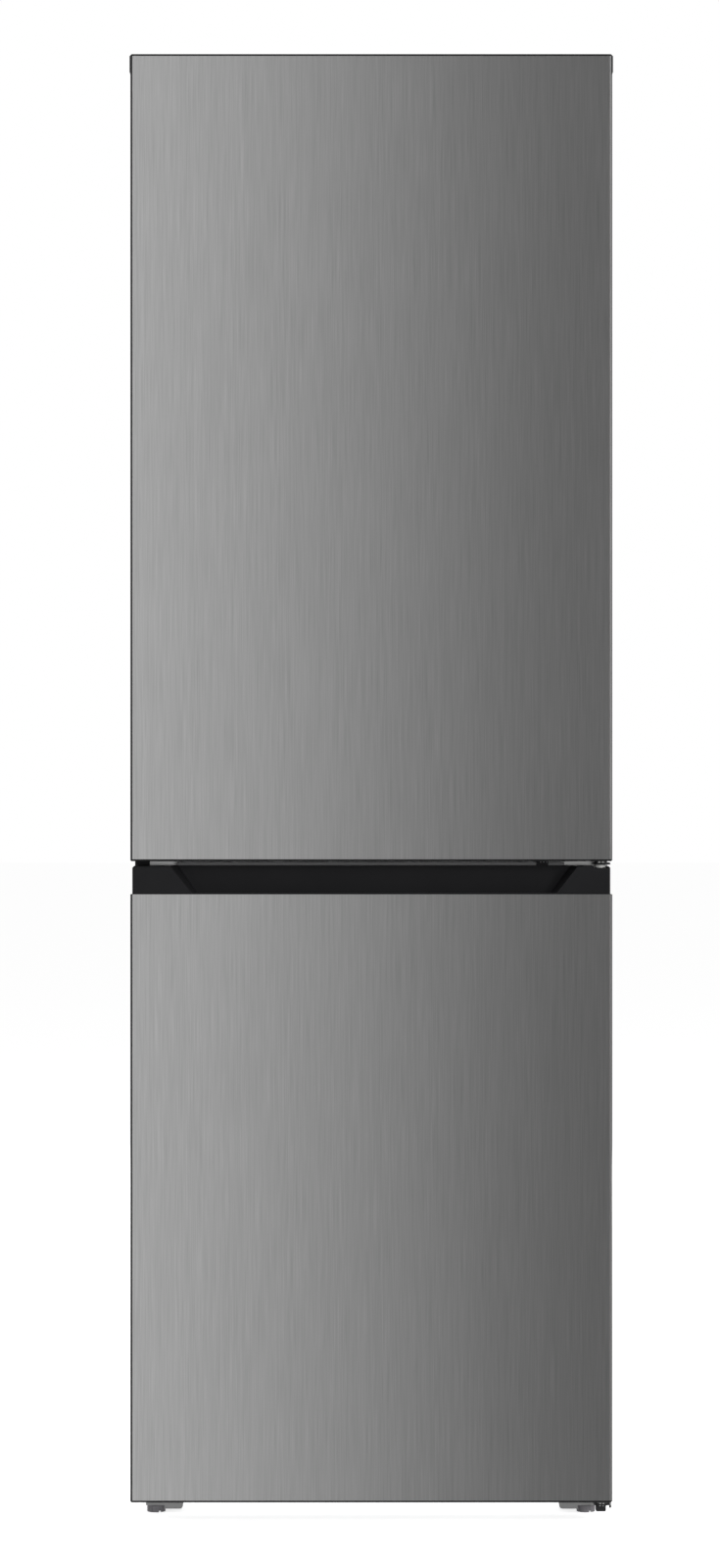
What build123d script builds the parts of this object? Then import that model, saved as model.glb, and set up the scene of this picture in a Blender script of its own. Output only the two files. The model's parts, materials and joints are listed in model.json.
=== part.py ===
from build123d import *
import os

# A bottom freezer refrigerator. Millimetres, +Z up, the doors face -Y, hinges on the +X side.
# The origin lies on the floor, under the middle of the outline.

# ---- Overall size ----
width = 590.0  # over the door panels
depth = 635.0  # door front to the condenser clips
height = 1800.0  # floor to the top of the upper door
door_thickness = 58.0
seal_gap = 10.0  # between doors and cabinet, closed by the gaskets
door_gap = 6.0  # between the two doors
freezer_door_bottom = 28.0
freezer_door_top = 806.5
cabinet_inset = 2.0  # cabinet side behind the door side
hinge_headroom = 10.0  # cabinet top below the door top
cabinet_bottom = 32.0
rear_clearance = 22.0  # behind the rear panel, where the condenser sits
sheet = 0.8  # steel panels
liner_wall = 2.0  # thermoformed plastic
liner_corner = 15.0  # inner radius of the fridge liner
liner_chamfer = 8.0  # bent edges across the freezer liner's back
contact_gap = 0.3  # between pieces that slide or press on each other

# ---- Insulated walls ----
fridge_wall = 43.0
freezer_wall = 58.0
roof_wall = 45.0
floor_wall = 63.0
mullion_height = 79.0
fridge_back_wall = 45.0
freezer_back_wall = 70.0
step_wall = 45.0
niche_depth = 190.0  # compressor niche at the rear
niche_height = 225.0
niche_roof_drop = 50.0
tray_sheet = 1.5  # bent sheet under the foam
panel_flange = 15.0  # front return of the side panels
hem = 18.0  # rear return of the door panels

# ---- Hinges ----
hinge_inset = 12.6  # axis from the door's side
hinge_setback = 30.0  # axis from the door's front
pin_radius = 4.0
pin_play = 0.05
pin_length = 12.0
hinge_plate = 2.5
arm_half = 9.0
arm_outer = 12.0  # the arms reach this far past the axis, to the door's side
arm_corner = 8.0
washer_radius = 6.9
corner_drop = 2.7  # depth of the washer's pocket in the handle cap, open at the front

# ---- Door trims ----
panel_bend = 3.0  # outer bend of the steel panels
rim = 2.4  # plastic rim that shows past the steel
plug_depth = 18.0  # caps reach this far into the panel
ear_height = 20.0
ear_proud = 1.0
rim_chamfer = 1.2  # outer edges of the rims
pocket_rim = 6.0  # front rim that hides the top hinge's arm
handle_band = 34.5  # height of the handle cap above the steel
handle_inset = 2.3
handle_setback = 1.0
recess_x = 3.5  # middle of the finger recess
recess_top_half = 250.0
recess_bottom_half = 224.0
rear_lip_half = 238.0
recess_depth = 30.0
recess_groove = 10.0  # finger groove below the steel's top edge
recess_lip = 4.0  # plastic lip between recess and steel
rear_lip_height = 4.3
stop_x = (203.5, 218.0)  # small block on the rear lip
stop_height = 5.3
dyke_inset = 10.0  # door dykes inside the cabinet's openings

# ---- Fittings ----
glass = 4.0
ledge_width = 11.0
ledge_height = 8.0
shelf_count = 3
bin_depth = 92.0
bin_wall = 2.5
bin_height = 88.0
bin_toe = 6.0  # slanted foot of the front wall
bin_drop = 24.0  # front wall below the end walls
bin_shoulder = 40.0  # full height of the end walls next to the door
bin_corner = 6.0
bin_first = 45.0  # lowest bin above the compartment's floor
bin_count = 3
dyke_depth_fridge = 30.0
dyke_depth_freezer = 22.0
dyke_width = 14.0
dyke_chamfer = 3.0
drawer_wall = 2.5
drawer_front = 11.0
drawer_corner = 14.0
drawer_draft = 1.2  # degrees
front_overlap = 3.0  # the front panel past the tray's sides
rim_drop = 6.0  # tray rim below the front's upper edge
slot_drop = 20.0  # finger slot below the front's upper edge
slot_half = 55.0
slot_height = 22.0
crisper_height = 178.0
foot_radius = 11.5
foot_height = 8.3
foot_inset = 25.0  # from the cabinet's side
foot_setback = 97.5
foot_stem = 4.0
roller_radius = 11.0
roller_width = 14.0
roller_inset = 31.0
roller_setback = 45.5
axle_radius = 3.0
axle_play = 0.05

# ---- Planes that the pieces share ----
front_y = -depth / 2
door_back_y = front_y + door_thickness
cabinet_front_y = door_back_y + seal_gap
cabinet_back_y = depth / 2 - rear_clearance
cabinet_half = width / 2 - cabinet_inset
cabinet_top = height - hinge_headroom
door_mid_y = front_y + door_thickness / 2
fridge_door_bottom = freezer_door_top + door_gap
gap_middle = freezer_door_top + door_gap / 2
steel_top = freezer_door_top - handle_band
hinge_x = width / 2 - hinge_inset
hinge_y = front_y + hinge_setback
flange_inner = cabinet_half - panel_flange
foam_front_y = cabinet_front_y + liner_wall
shell_half = cabinet_half - sheet
foot_spread = cabinet_half - foot_inset
foot_y = front_y + foot_setback
roller_spread = cabinet_half - roller_inset
roller_y = cabinet_back_y - roller_setback

fridge_half = cabinet_half - fridge_wall
fridge_floor = gap_middle + mullion_height / 2
fridge_ceiling = cabinet_top - roof_wall
fridge_back_y = cabinet_back_y - fridge_back_wall
freezer_half = cabinet_half - freezer_wall
freezer_floor = cabinet_bottom + floor_wall
freezer_ceiling = gap_middle - mullion_height / 2
freezer_back_y = cabinet_back_y - freezer_back_wall

niche_y = cabinet_back_y - niche_depth
niche_high = cabinet_bottom + niche_height
niche_low = niche_high - niche_roof_drop
step_y = niche_y - step_wall
step_high = niche_high + step_wall
step_low = niche_low + step_wall


# ---- Small helpers ----
def block(x, y, z):
    """A box between the low and high value of each axis."""
    size = [high - low for low, high in (x, y, z)]
    middle = [(high + low) / 2 for low, high in (x, y, z)]
    return Pos(*middle) * Box(*size)


def upright(x, y, radius, z):
    """A vertical cylinder between two heights."""
    low, high = z
    return Pos(x, y, (low + high) / 2) * Cylinder(radius, high - low)


def slab(sketch, y, z):
    """A plan outline, centred on x = 0 and the given y, raised between two heights."""
    low, high = z
    return extrude(Pos(0, y, low) * sketch, high - low)


def side_profile(points, x):
    """An outline in the YZ plane, stretched between two x values."""
    low, high = x
    outline = make_face(Polyline(*[(low, y, z) for y, z in points], close=True))
    return extrude(outline, high - low, dir=(1, 0, 0))


def frame_ring(outer_half, inner_half, y, outer_z, inner_z):
    """An upright rectangular ring."""
    return block((-outer_half, outer_half), y, outer_z) - block(
        (-inner_half, inner_half), y, inner_z
    )


# ---- Cabinet shell ----
def side_panel(side):
    """Painted sheet with a narrow return at the front and at the back."""
    outer, inner = side * cabinet_half, side * shell_half
    depth_range = (cabinet_front_y, cabinet_back_y)
    z = (cabinet_bottom, cabinet_top)
    flat = block(sorted((outer, inner)), depth_range, z)
    returns = sorted((outer, side * flange_inner))
    front = block(returns, (cabinet_front_y, cabinet_front_y + sheet), z)
    return flat + front


def top_panel():
    lid = block(
        (-shell_half, shell_half),
        (cabinet_front_y + sheet, cabinet_back_y),
        (cabinet_top - sheet, cabinet_top),
    )
    front = block(
        (-flange_inner, flange_inner),
        (cabinet_front_y, cabinet_front_y + sheet),
        (cabinet_top - panel_flange, cabinet_top),
    )
    return lid + front


def rear_panel():
    """Flat sheet above the niche, with a shallow rib across its foot and its head."""
    z = (niche_high + tray_sheet, cabinet_top - sheet)
    panel = block((-shell_half, shell_half), (cabinet_back_y - sheet, cabinet_back_y), z)
    rib_half, rib_height, rib_proud = shell_half - 30, 12.0, 1.5
    rib_y = (cabinet_back_y, cabinet_back_y + rib_proud)
    for level in (niche_high + 25, cabinet_top - 60):
        panel += block((-rib_half, rib_half), rib_y, (level, level + rib_height))
    return panel


def tray_outline(offset):
    """Underside of the foam, seen from the side: floor, niche wall and sloping niche roof."""
    return [
        (cabinet_front_y + tray_sheet, cabinet_bottom + offset),
        (niche_y - offset, cabinet_bottom + offset),
        (niche_y - offset, niche_low + offset),
        (cabinet_back_y, niche_high + offset),
    ]


def bottom_tray():
    """Bent sheet that closes the foam from below and around the niche, with a front upstand."""
    outline = tray_outline(0) + tray_outline(tray_sheet)[::-1]
    sheet_part = side_profile(outline, (-shell_half, shell_half))
    upstand = block(
        (-flange_inner, flange_inner),
        (cabinet_front_y, cabinet_front_y + tray_sheet),
        (cabinet_bottom, freezer_flange_bottom()),
    )
    return sheet_part + upstand


def freezer_flange_bottom():
    return freezer_floor - floor_wall / 2 - 3


def fridge_cavity():
    """Inside of the fridge compartment, rounded along its depth and at its back."""
    box = block(
        (-fridge_half, fridge_half),
        (cabinet_front_y, fridge_back_y),
        (fridge_floor, fridge_ceiling),
    )
    rear = box.edges().group_by(Axis.Y)[-1]
    return fillet(box.edges().filter_by(Axis.Y) + rear, liner_corner)


def fridge_liner_space():
    """The fridge liner's outside, where the foam begins."""
    box = block(
        (-fridge_half - liner_wall, fridge_half + liner_wall),
        (cabinet_front_y, fridge_back_y + liner_wall),
        (fridge_floor - liner_wall, fridge_ceiling + liner_wall),
    )
    rear = box.edges().group_by(Axis.Y)[-1]
    return chamfer(box.edges().filter_by(Axis.Y) + rear, liner_corner * 0.55)


def freezer_cavity(grow):
    """Inside of the freezer compartment, stepped over the compressor niche."""
    outline = [
        (cabinet_front_y, freezer_floor - grow),
        (step_y + grow, freezer_floor - grow),
        (step_y + grow, step_low - grow),
        (freezer_back_y + grow, step_high - grow),
        (freezer_back_y + grow, freezer_ceiling + grow),
        (cabinet_front_y, freezer_ceiling + grow),
    ]
    solid = side_profile(outline, (-freezer_half - grow, freezer_half + grow))
    cross_edges = solid.edges().filter_by(Axis.X)
    return chamfer(cross_edges.group_by(Axis.Y)[-1], liner_chamfer)


def liner_flange(z):
    return block((-flange_inner, flange_inner), (cabinet_front_y, foam_front_y), z)


def ledge_pair(half, y, top):
    """Two moulded runners on the side walls, under whatever rests at the given height."""
    low_y, high_y = y
    runner = block((half - ledge_width, half), (low_y, high_y), (top - ledge_height, top))
    nose = runner.edges().filter_by(Axis.Z).group_by(Axis.Y)[0].sort_by(Axis.X)[0]
    runner = chamfer(nose, ledge_width * 0.6)
    return runner + mirror(runner, Plane.YZ)


# ---- Levels of the fittings ----
bin_back_y = door_back_y + bin_depth
crisper_front_y = bin_back_y + 20
crisper_cover_z = fridge_floor + crisper_height + 6
shelf_pitch = (fridge_ceiling - crisper_cover_z) / (shelf_count + 1)
shelf_levels = [crisper_cover_z + shelf_pitch * number for number in range(1, shelf_count + 1)]
shelf_front_y = bin_back_y + 15
trim_depth = 14.0
ledge_start_y = shelf_front_y + trim_depth
ledge_end_y = fridge_back_y - 12
lowest_bin = fridge_floor + bin_first
bin_pitch = (fridge_ceiling - lowest_bin) / bin_count
bin_levels = [lowest_bin + bin_pitch * number for number in range(bin_count)]
drawer_face_y = door_back_y + dyke_depth_freezer + 15
middle_drawer_z = step_high + 2 + ledge_height
upper_drawer_pitch = (freezer_ceiling - middle_drawer_z) / 2
top_drawer_z = middle_drawer_z + upper_drawer_pitch
drawer_levels = (freezer_floor, middle_drawer_z, top_drawer_z)
freezer_ledge = 23.0
drawer_side_gap = 13.0


def fridge_liner():
    shell = fridge_liner_space()
    shell += liner_flange((fridge_flange_bottom(), cabinet_top - panel_flange))
    shell -= fridge_cavity()
    for level in [crisper_cover_z] + shelf_levels:
        shell += ledge_pair(fridge_half, (ledge_start_y, ledge_end_y), level)
    return shell


def fridge_flange_bottom():
    return fridge_floor - 4.5


def freezer_flange_top():
    return freezer_ceiling + 4.5


def freezer_liner():
    shell = freezer_cavity(liner_wall)
    shell += liner_flange((freezer_flange_bottom(), freezer_flange_top()))
    shell -= freezer_cavity(0)
    for level in (middle_drawer_z, top_drawer_z):
        runner = block(
            (freezer_half - freezer_ledge, freezer_half),
            (drawer_face_y + 25, freezer_back_y - liner_chamfer - 2),
            (level - ledge_height, level),
        )
        shell += runner + mirror(runner, Plane.YZ)
    return shell


def niche_space(offset):
    """Everything below the foam's underside, as a tool to cut with."""
    front = cabinet_front_y + tray_sheet
    outline = tray_outline(offset) + [(cabinet_back_y, 0), (front, 0)]
    return side_profile(outline, (-width, width))


def insulation_foam():
    """One body of foam between the shell and the two liners."""
    foam = block(
        (-shell_half, shell_half),
        (foam_front_y, cabinet_back_y - sheet),
        (cabinet_bottom, cabinet_top - sheet),
    )
    foam -= fridge_liner_space() + freezer_cavity(liner_wall)
    return foam - niche_space(tray_sheet) - evaporator_space()


# ---- Evaporator, foamed in behind the freezer liner ----
evaporator_half = 185.0
evaporator_plate = 1.0
evaporator_tube = 7.0
evaporator_rows = 3


def evaporator_levels():
    low = step_high + 50
    pitch = (freezer_ceiling - 40 - low) / (evaporator_rows - 1)
    return [low + pitch * number for number in range(evaporator_rows)]


def evaporator_space():
    levels = evaporator_levels()
    y = freezer_back_y + liner_wall
    return block(
        (-evaporator_half, evaporator_half),
        (y, y + evaporator_plate + evaporator_tube),
        (levels[0] - 20, levels[-1] + 20),
    )


def zigzag(levels, half, y):
    """Corner points of a serpentine, from its lowest run to its highest."""
    points = []
    side = 1
    for level in levels:
        points.append((side * half, y, level))
        points.append((-side * half, y, level))
        side = -side
    return points


def evaporator():
    """Aluminium plate with a flat tube bonded on in runs."""
    levels = evaporator_levels()
    face_y = freezer_back_y + liner_wall
    tube_y = face_y + evaporator_plate + evaporator_tube / 2
    plate = block(
        (-evaporator_half, evaporator_half),
        (face_y, face_y + evaporator_plate),
        (levels[0] - 20, levels[-1] + 20),
    )
    points = zigzag(levels, evaporator_half - 10, tube_y)
    route = FilletPolyline(*points, radius=20)
    section = Plane(origin=points[0], z_dir=(-1, 0, 0)) * Rectangle(evaporator_tube, evaporator_tube)
    return plate + sweep(section, path=route)


# ---- Middle rail ----
def mullion_rail():
    """Painted front rail between the two compartments."""
    z = (freezer_flange_top(), fridge_flange_bottom())
    return block((-flange_inner, flange_inner), (cabinet_front_y, foam_front_y), z)


def mullion_plug():
    """Blind cover over the unused hinge holes on the left."""
    plug_width, plug_height, plug_thick = 18.0, 36.0, 3.5
    outer = -cabinet_half + 0.4
    plug = block(
        (outer, outer + plug_width),
        (cabinet_front_y - plug_thick, cabinet_front_y),
        (gap_middle - plug_height / 2, gap_middle + plug_height / 2),
    )
    front = plug.faces().sort_by(Axis.Y)[0]
    return chamfer(front.edges(), 1.0)


# ---- Hinges ----
screw_head = 4.6  # corner radius of the hexagon
screw_head_height = 3.0


def plate_arm(z, back_y):
    """Flat arm that reaches forward past the hinge axis, with a rounded tip."""
    arm = block((hinge_x - arm_half, hinge_x + arm_outer), (hinge_y - arm_half, back_y), z)
    tip = arm.edges().filter_by(Axis.Z).group_by(Axis.Y)[0]
    return fillet(tip, arm_corner)


top_arm_z = (height - 4.0, height - 1.0)
top_plate_width = 84.6
top_plate_length = 70.0
top_plate_x = (cabinet_half - 4 - top_plate_width, cabinet_half - 4)
top_plate_y = (cabinet_front_y + 14, cabinet_front_y + 14 + top_plate_length)
top_screws = [(top_plate_x[0] + 12, 32.0), (top_plate_x[0] + 12, 58.0), (top_plate_x[1] - 14, 58.0)]


def top_hinge():
    """Stepped plate: screwed to the cabinet top, its arm runs over the upper door's corner."""
    arm_low, arm_high = top_arm_z
    front = top_plate_y[0]
    base = block(top_plate_x, top_plate_y, (cabinet_top, cabinet_top + hinge_plate))
    riser = block(
        (hinge_x - arm_half, hinge_x + arm_half),
        (front, front + hinge_plate),
        (cabinet_top, arm_high),
    )
    pin = upright(hinge_x, hinge_y, pin_radius, (arm_low - pin_length, arm_low))
    return base + riser + plate_arm(top_arm_z, front + hinge_plate) + pin


def top_hinge_cover():
    """Plastic cover over the hinge plate, open below and at the front for the arm."""
    wall, corner = 1.5, 2.5
    x = (top_plate_x[0] - 3, top_plate_x[1] + 3)
    y = (top_plate_y[0] + hinge_plate + 1, top_plate_y[1] + 5)
    z = (cabinet_top, height - 0.4)
    cover = block(x, y, z)
    cover = chamfer(cover.edges().group_by(Axis.Z)[-1], corner)
    inside = block((x[0] + wall, x[1] - wall), (y[0] - wall, y[1] - wall), (z[0], z[1] - wall))
    return cover - inside


middle_plate_z = (freezer_door_top + 1.2, freezer_door_top + 1.2 + hinge_plate)
middle_flange_half = 18.0
middle_screws = [(hinge_x - 34, 11.0), (hinge_x - 34, -11.0), (hinge_x - 10, -11.0)]


def middle_hinge():
    """Angle on the middle rail, with a pin up into one door and down into the other."""
    low, high = middle_plate_z
    flange = block(
        (hinge_x - 44, cabinet_half - 1.5),
        (cabinet_front_y - hinge_plate, cabinet_front_y),
        (gap_middle - middle_flange_half, gap_middle + middle_flange_half),
    )
    pins = upright(hinge_x, hinge_y, pin_radius, (low - pin_length - 3, high + pin_length))
    return flange + plate_arm(middle_plate_z, cabinet_front_y - hinge_plate) + pins


bottom_arm_z = (freezer_door_bottom - 7.5, freezer_door_bottom - 4.5)
bottom_screws = [(hinge_x - 40, 8.0), (hinge_x - 18, 8.0), (hinge_x + 2, 8.0)]


def bottom_hinge():
    """Angle under the lower door, with its pin up into the door and a nut below."""
    low, high = bottom_arm_z
    flange = block(
        (hinge_x - 50, cabinet_half - 1.5),
        (cabinet_front_y - hinge_plate, cabinet_front_y),
        (low, freezer_flange_bottom() - 6),
    )
    pin = upright(hinge_x, hinge_y, pin_radius, (high, freezer_door_bottom + pin_length))
    nut_half, nut_height = 6.2, 7.9
    nut = block(
        (hinge_x - nut_half, hinge_x + nut_half),
        (hinge_y - nut_half, hinge_y + nut_half),
        (low - nut_height, low),
    )
    nut = chamfer(nut.edges().group_by(Axis.Z)[0], 1.2)
    return flange + plate_arm(bottom_arm_z, cabinet_front_y - hinge_plate) + pin + nut


def ring(z):
    """Washer with an open bore wider than the pin."""
    low, high = z
    outline = RegularPolygon(washer_radius, 16)
    outline -= RegularPolygon(pin_radius + pin_play, 12, major_radius=False)
    return Pos(hinge_x, hinge_y, low) * extrude(outline, high - low)


def hinge_washers():
    """White plastic washers that the doors turn on."""
    middle_low, middle_high = middle_plate_z
    return Compound(
        [
            ring((middle_high, fridge_door_bottom - contact_gap)),
            ring((pocket_floor() + contact_gap, middle_low)),
            ring((bottom_arm_z[1], freezer_door_bottom - contact_gap)),
        ]
    )


def pocket_floor():
    return freezer_door_top - corner_drop


def screw(head_at, direction):
    """Hexagon head that sits on the given point of a hinge plate."""
    outline = Plane(origin=head_at, z_dir=direction) * RegularPolygon(screw_head, 6)
    return extrude(outline, screw_head_height)


def hinge_screws():
    screws = []
    for x, back in top_screws:
        point = (x, cabinet_front_y + back, cabinet_top + hinge_plate)
        screws.append(screw(point, (0, 0, 1)))
    for x, rise in middle_screws:
        point = (x, cabinet_front_y - hinge_plate, gap_middle + rise)
        screws.append(screw(point, (0, -1, 0)))
    for x, rise in bottom_screws:
        point = (x, cabinet_front_y - hinge_plate, cabinet_bottom + rise)
        screws.append(screw(point, (0, -1, 0)))
    return Compound(screws)


# ---- Feet and rollers ----
bracket_plate = 3.4
bracket_plate_z = (foot_height + contact_gap, foot_height + contact_gap + bracket_plate)
bracket_x = (foot_spread - 33.5, foot_spread + 12.5)
bracket_leg = 23.0  # width of the front leg
bracket_drop = 4.4  # front leg below the plate


def foot_bracket(side):
    """Folded bracket under the cabinet's front corner, with a rounded inner leg."""
    near, far = bracket_x
    web = 3.0
    y = (foot_y - 9, foot_y + 26)
    low, high = bracket_plate_z
    leg = block((near, near + bracket_leg), (y[0], y[0] + 2.5), (low - bracket_drop, high))
    leg = fillet(leg.edges().filter_by(Axis.Y).group_by(Axis.Z)[0].sort_by(Axis.X)[0], 4.0)
    bracket = block((near, far), y, bracket_plate_z) + leg
    for start in (near, far - web):
        bracket += block((start, start + web), y, (low, cabinet_bottom))
    bracket -= upright(foot_spread, foot_y, foot_stem + pin_play, (low - 1, high + 1))
    return bracket if side > 0 else mirror(bracket, Plane.YZ)


def foot(side):
    """Levelling foot: ribbed disc on a stem, turned by hand or with a blade in its notch."""
    ribs = 16
    groove = Pos(foot_radius, 0) * Rectangle(1.2, 1.3)
    disc = Rot(0, 0, 90 / ribs) * RegularPolygon(foot_radius, 2 * ribs)
    disc -= PolarLocations(0, ribs) * groove
    body = extrude(disc, foot_height)
    body -= block((3.5, 6.0), (-2 * foot_radius, 0), (-1, 2.2))
    stem = extrude(RegularPolygon(foot_stem, 12), cabinet_bottom - 3 - foot_height)
    return Pos(side * foot_spread, foot_y, 0) * (body + Pos(0, 0, foot_height) * stem)


base_sheet = 2.0
carrier_upstand = 60.0
base_z = (cabinet_bottom - 6, cabinet_bottom - 6 + base_sheet)


def compressor_base():
    """Steel carrier across the niche, with ears and axles for the two rollers."""
    low, high = base_z
    y = (niche_y + 6, cabinet_back_y - 4)
    base = block((-shell_half, shell_half), y, base_z)
    for side in (-1, 1):
        upstand = sorted((side * shell_half, side * (shell_half - 2)))
        base += block(upstand, y, (low, cabinet_bottom + carrier_upstand))
        for offset in (-1, 1):
            ear_x = side * roller_spread + offset * (roller_width / 2 + contact_gap + 1)
            ear_y = (roller_y - 9, roller_y + 9)
            base += block((ear_x - 1, ear_x + 1), ear_y, (roller_radius - 6, low))
        axle = extrude(RegularPolygon(axle_radius, 12), roller_width / 2 + 2, both=True)
        base += roller_place(side) * axle
    return base


def roller_place(side):
    return Pos(side * roller_spread, roller_y, roller_radius) * Rot(0, 90, 0)


def roller(side):
    """Plastic roller that runs on its axle."""
    outline = RegularPolygon(roller_radius, 24)
    outline -= RegularPolygon(axle_radius + axle_play, 12, major_radius=False)
    return roller_place(side) * extrude(outline, roller_width / 2, both=True)


# ---- Compressor bay ----
compressor_x = 70.0
compressor_y = (niche_y + cabinet_back_y) / 2
shell_radius = 70.0
mount_height = 14.0
mount_radius = 11.0
mount_x, mount_y = 82.0, 62.0
foot_plate = 3.0
shell_height = 138.0
shell_low = base_z[1] + mount_height + foot_plate
shell_high = shell_low + shell_height
shell_middle = shell_low + shell_height / 2


def plate_outline(long, wide, corner):
    """Rectangle with cut corners."""
    return chamfer(Rectangle(long, wide).vertices(), corner)


def compressor():
    """Two drawn half shells, welded at a flange, on a pressed foot plate."""
    weld = 4.0
    outline = [
        (0, shell_low),
        (shell_radius, shell_low),
        (shell_radius, shell_middle - weld),
        (shell_radius + weld, shell_middle),
        (shell_radius, shell_middle + weld),
        (shell_radius, shell_high - 30),
        (shell_radius * 0.7, shell_high),
        (0, shell_high),
    ]
    half = make_face(Plane.XZ * Polyline(*outline, close=True))
    plate = plate_outline(2 * mount_x + 28, 2 * mount_y + 28, 12)
    plate = slab(plate, 0, (shell_low - foot_plate, shell_low))
    return Pos(compressor_x, compressor_y, 0) * (revolve(half, Axis.Z) + plate)


def compressor_mounts():
    """Four rubber bushes between the foot plate and the carrier."""
    bush = extrude(RegularPolygon(mount_radius, 12), mount_height)
    mounts = []
    for x in (-mount_x, mount_x):
        for y in (-mount_y, mount_y):
            mounts.append(Pos(compressor_x + x, compressor_y + y, base_z[1]) * bush)
    return Compound(mounts)


def terminal_box():
    """Relay cover clipped to the side of the compressor."""
    x = compressor_x - shell_radius
    z = (shell_middle - 31, shell_middle + 35)
    box = block((x - 34, x + 14), (compressor_y - 30, compressor_y + 30), z)
    box = chamfer(box.edges().group_by(Axis.X)[0], 4.0)
    return box - upright(compressor_x, compressor_y, shell_radius + 4, z)


tray_wall = 2.0
drain_height = 24.0
drain_length = 170.0
drain_width = 120.0


def drain_tray():
    """Open tray on top of the compressor that catches the defrost water."""
    low = shell_high + contact_gap
    high = low + drain_height
    plan = plate_outline(drain_length, drain_width, 12)
    inner = plate_outline(drain_length - 2 * tray_wall, drain_width - 2 * tray_wall, 11)
    tray = slab(plan, 0, (low, high)) - slab(inner, 0, (low + tray_wall, high))
    return Pos(compressor_x, compressor_y, 0) * tray


# ---- Condenser ----
tube_radius = 2.5
condenser_y = cabinet_back_y + 11
condenser_pitch = 132.0
condenser_rows = 10
condenser_bend = 45.0
condenser_first = niche_high + 73
run_half = cabinet_half - 38
return_x = cabinet_half - 21
tail_z = 150.0
wire = 1.6
wire_half = 185.0
wire_pitch = 23.0
condenser_levels = [condenser_first + condenser_pitch * number for number in range(condenser_rows)]


def condenser_tube():
    """Tube from the compressor's tail up through the serpentine and back down to the drier."""
    points = [(run_half, condenser_y, tail_z)] + zigzag(condenser_levels, run_half, condenser_y)
    points[-1] = (return_x, condenser_y, condenser_levels[-1])
    points.append((return_x, condenser_y, tail_z))
    route = FilletPolyline(*points, radius=condenser_bend)
    section = Plane(origin=points[0], z_dir=(0, 0, 1)) * RegularPolygon(tube_radius, 4)
    return sweep(section, path=route)


def condenser():
    """Serpentine tube between two layers of upright wires."""
    reach = (condenser_levels[0] - 25, condenser_levels[-1] + 25)
    half = wire / 2
    offset = tube_radius + half + 0.05
    pieces = [condenser_tube()]
    count = round(wire_half / wire_pitch)
    for number in range(-count, count + 1):
        x = number * wire_pitch
        for y in (condenser_y - offset, condenser_y + offset):
            pieces.append(block((x - half, x + half), (y - half, y + half), reach))
    return Compound(pieces)


def condenser_clips():
    """Stand-off clips that hold the tube off the rear panel and the wall off the tube."""
    clip_half, clip_width = 11.0, 18.0
    reach = tube_radius + contact_gap
    clips = []
    for side in (-1, 1):
        for level in (condenser_levels[1], condenser_levels[-2]):
            start = side * (wire_half + 16) - clip_width / 2
            x = (start, start + clip_width)
            clip = block(x, (cabinet_back_y, depth / 2), (level - clip_half, level + clip_half))
            clip = chamfer(clip.edges().filter_by(Axis.X), 3.0)
            slot_y = (condenser_y - reach, condenser_y + reach)
            clips.append(clip - block(x, slot_y, (level - reach, level + clip_half)))
    return Compound(clips)


def tube(points, radius, bend):
    """Bent tube of the given radius through the given corner points."""
    route = FilletPolyline(*points, radius=bend)
    start = Vector(*points[0])
    section = Plane(origin=points[0], z_dir=Vector(*points[1]) - start) * RegularPolygon(radius, 4)
    return sweep(section, path=route)


drier_z = 88.0
drier_radius = 8.0
drier_length = 80.0
drier_end_y = cabinet_back_y - 10
drier_start_y = drier_end_y - drier_length
inlet_z = 160.0  # lines enter the foam about here


def discharge_tube():
    """From the compressor's side to the condenser's tail."""
    z = shell_middle - 19
    start, turn = compressor_x + shell_radius - 4, run_half - 25
    points = [
        (start, compressor_y, z),
        (turn, compressor_y, z),
        (turn, condenser_y - 40, z),
        (run_half, condenser_y, z),
        (run_half, condenser_y, tail_z),
    ]
    return tube(points, tube_radius, 12) - compressor()


def liquid_line():
    """Condenser outlet, filter drier and the thin capillary into the foam."""
    feed = [
        (return_x, condenser_y, tail_z),
        (return_x, condenser_y, drier_z),
        (return_x, drier_end_y, drier_z),
    ]
    rise_y = niche_y + 30
    capillary = [
        (return_x, drier_start_y, drier_z),
        (return_x, rise_y, drier_z),
        (return_x, rise_y, inlet_z),
        (return_x, niche_y, inlet_z),
    ]
    drier = Cylinder(drier_radius, drier_length)
    drier = Pos(return_x, (drier_start_y + drier_end_y) / 2, drier_z) * Rot(90, 0, 0) * drier
    return tube(feed, tube_radius, 10) + drier + tube(capillary, 1.2, 12)


def suction_tube():
    """Thicker tube from the foam back to the compressor."""
    x, z = compressor_x - shell_radius * 0.5, shell_middle + 6
    rise_x, rise_y, high = x - 60, niche_y + 14, inlet_z + 18
    points = [
        (x, compressor_y - shell_radius * 0.6, z),
        (x, rise_y, z),
        (rise_x, rise_y, z),
        (rise_x, rise_y, high),
        (rise_x, niche_y, high),
    ]
    return tube(points, 4.0, 9) - compressor()


def refrigerant_tubes():
    return Compound([discharge_tube(), liquid_line(), suction_tube()])


def cord_gland():
    """Grommet in the carrier's end where a supply lead would pass."""
    x = base_sheet - shell_half
    plane = Pos(x, niche_y + 60, cabinet_bottom + 30) * Rot(0, 90, 0)
    nut = extrude(RegularPolygon(11, 6), 6)
    sleeve = extrude(RegularPolygon(7, 12), 18)
    return plane * (nut + sleeve - extrude(RegularPolygon(3.5, 12), 20))


# ---- Fridge fittings ----
shelf_half = fridge_half - 3
pane_front_y = shelf_front_y + 4


def shelf_glass(level):
    """Pane that rests on two runners."""
    pane = block((-shelf_half, shelf_half), (pane_front_y, ledge_end_y), (level, level + glass))
    return chamfer(pane.edges().filter_by(Axis.Z), 3.0)


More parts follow.
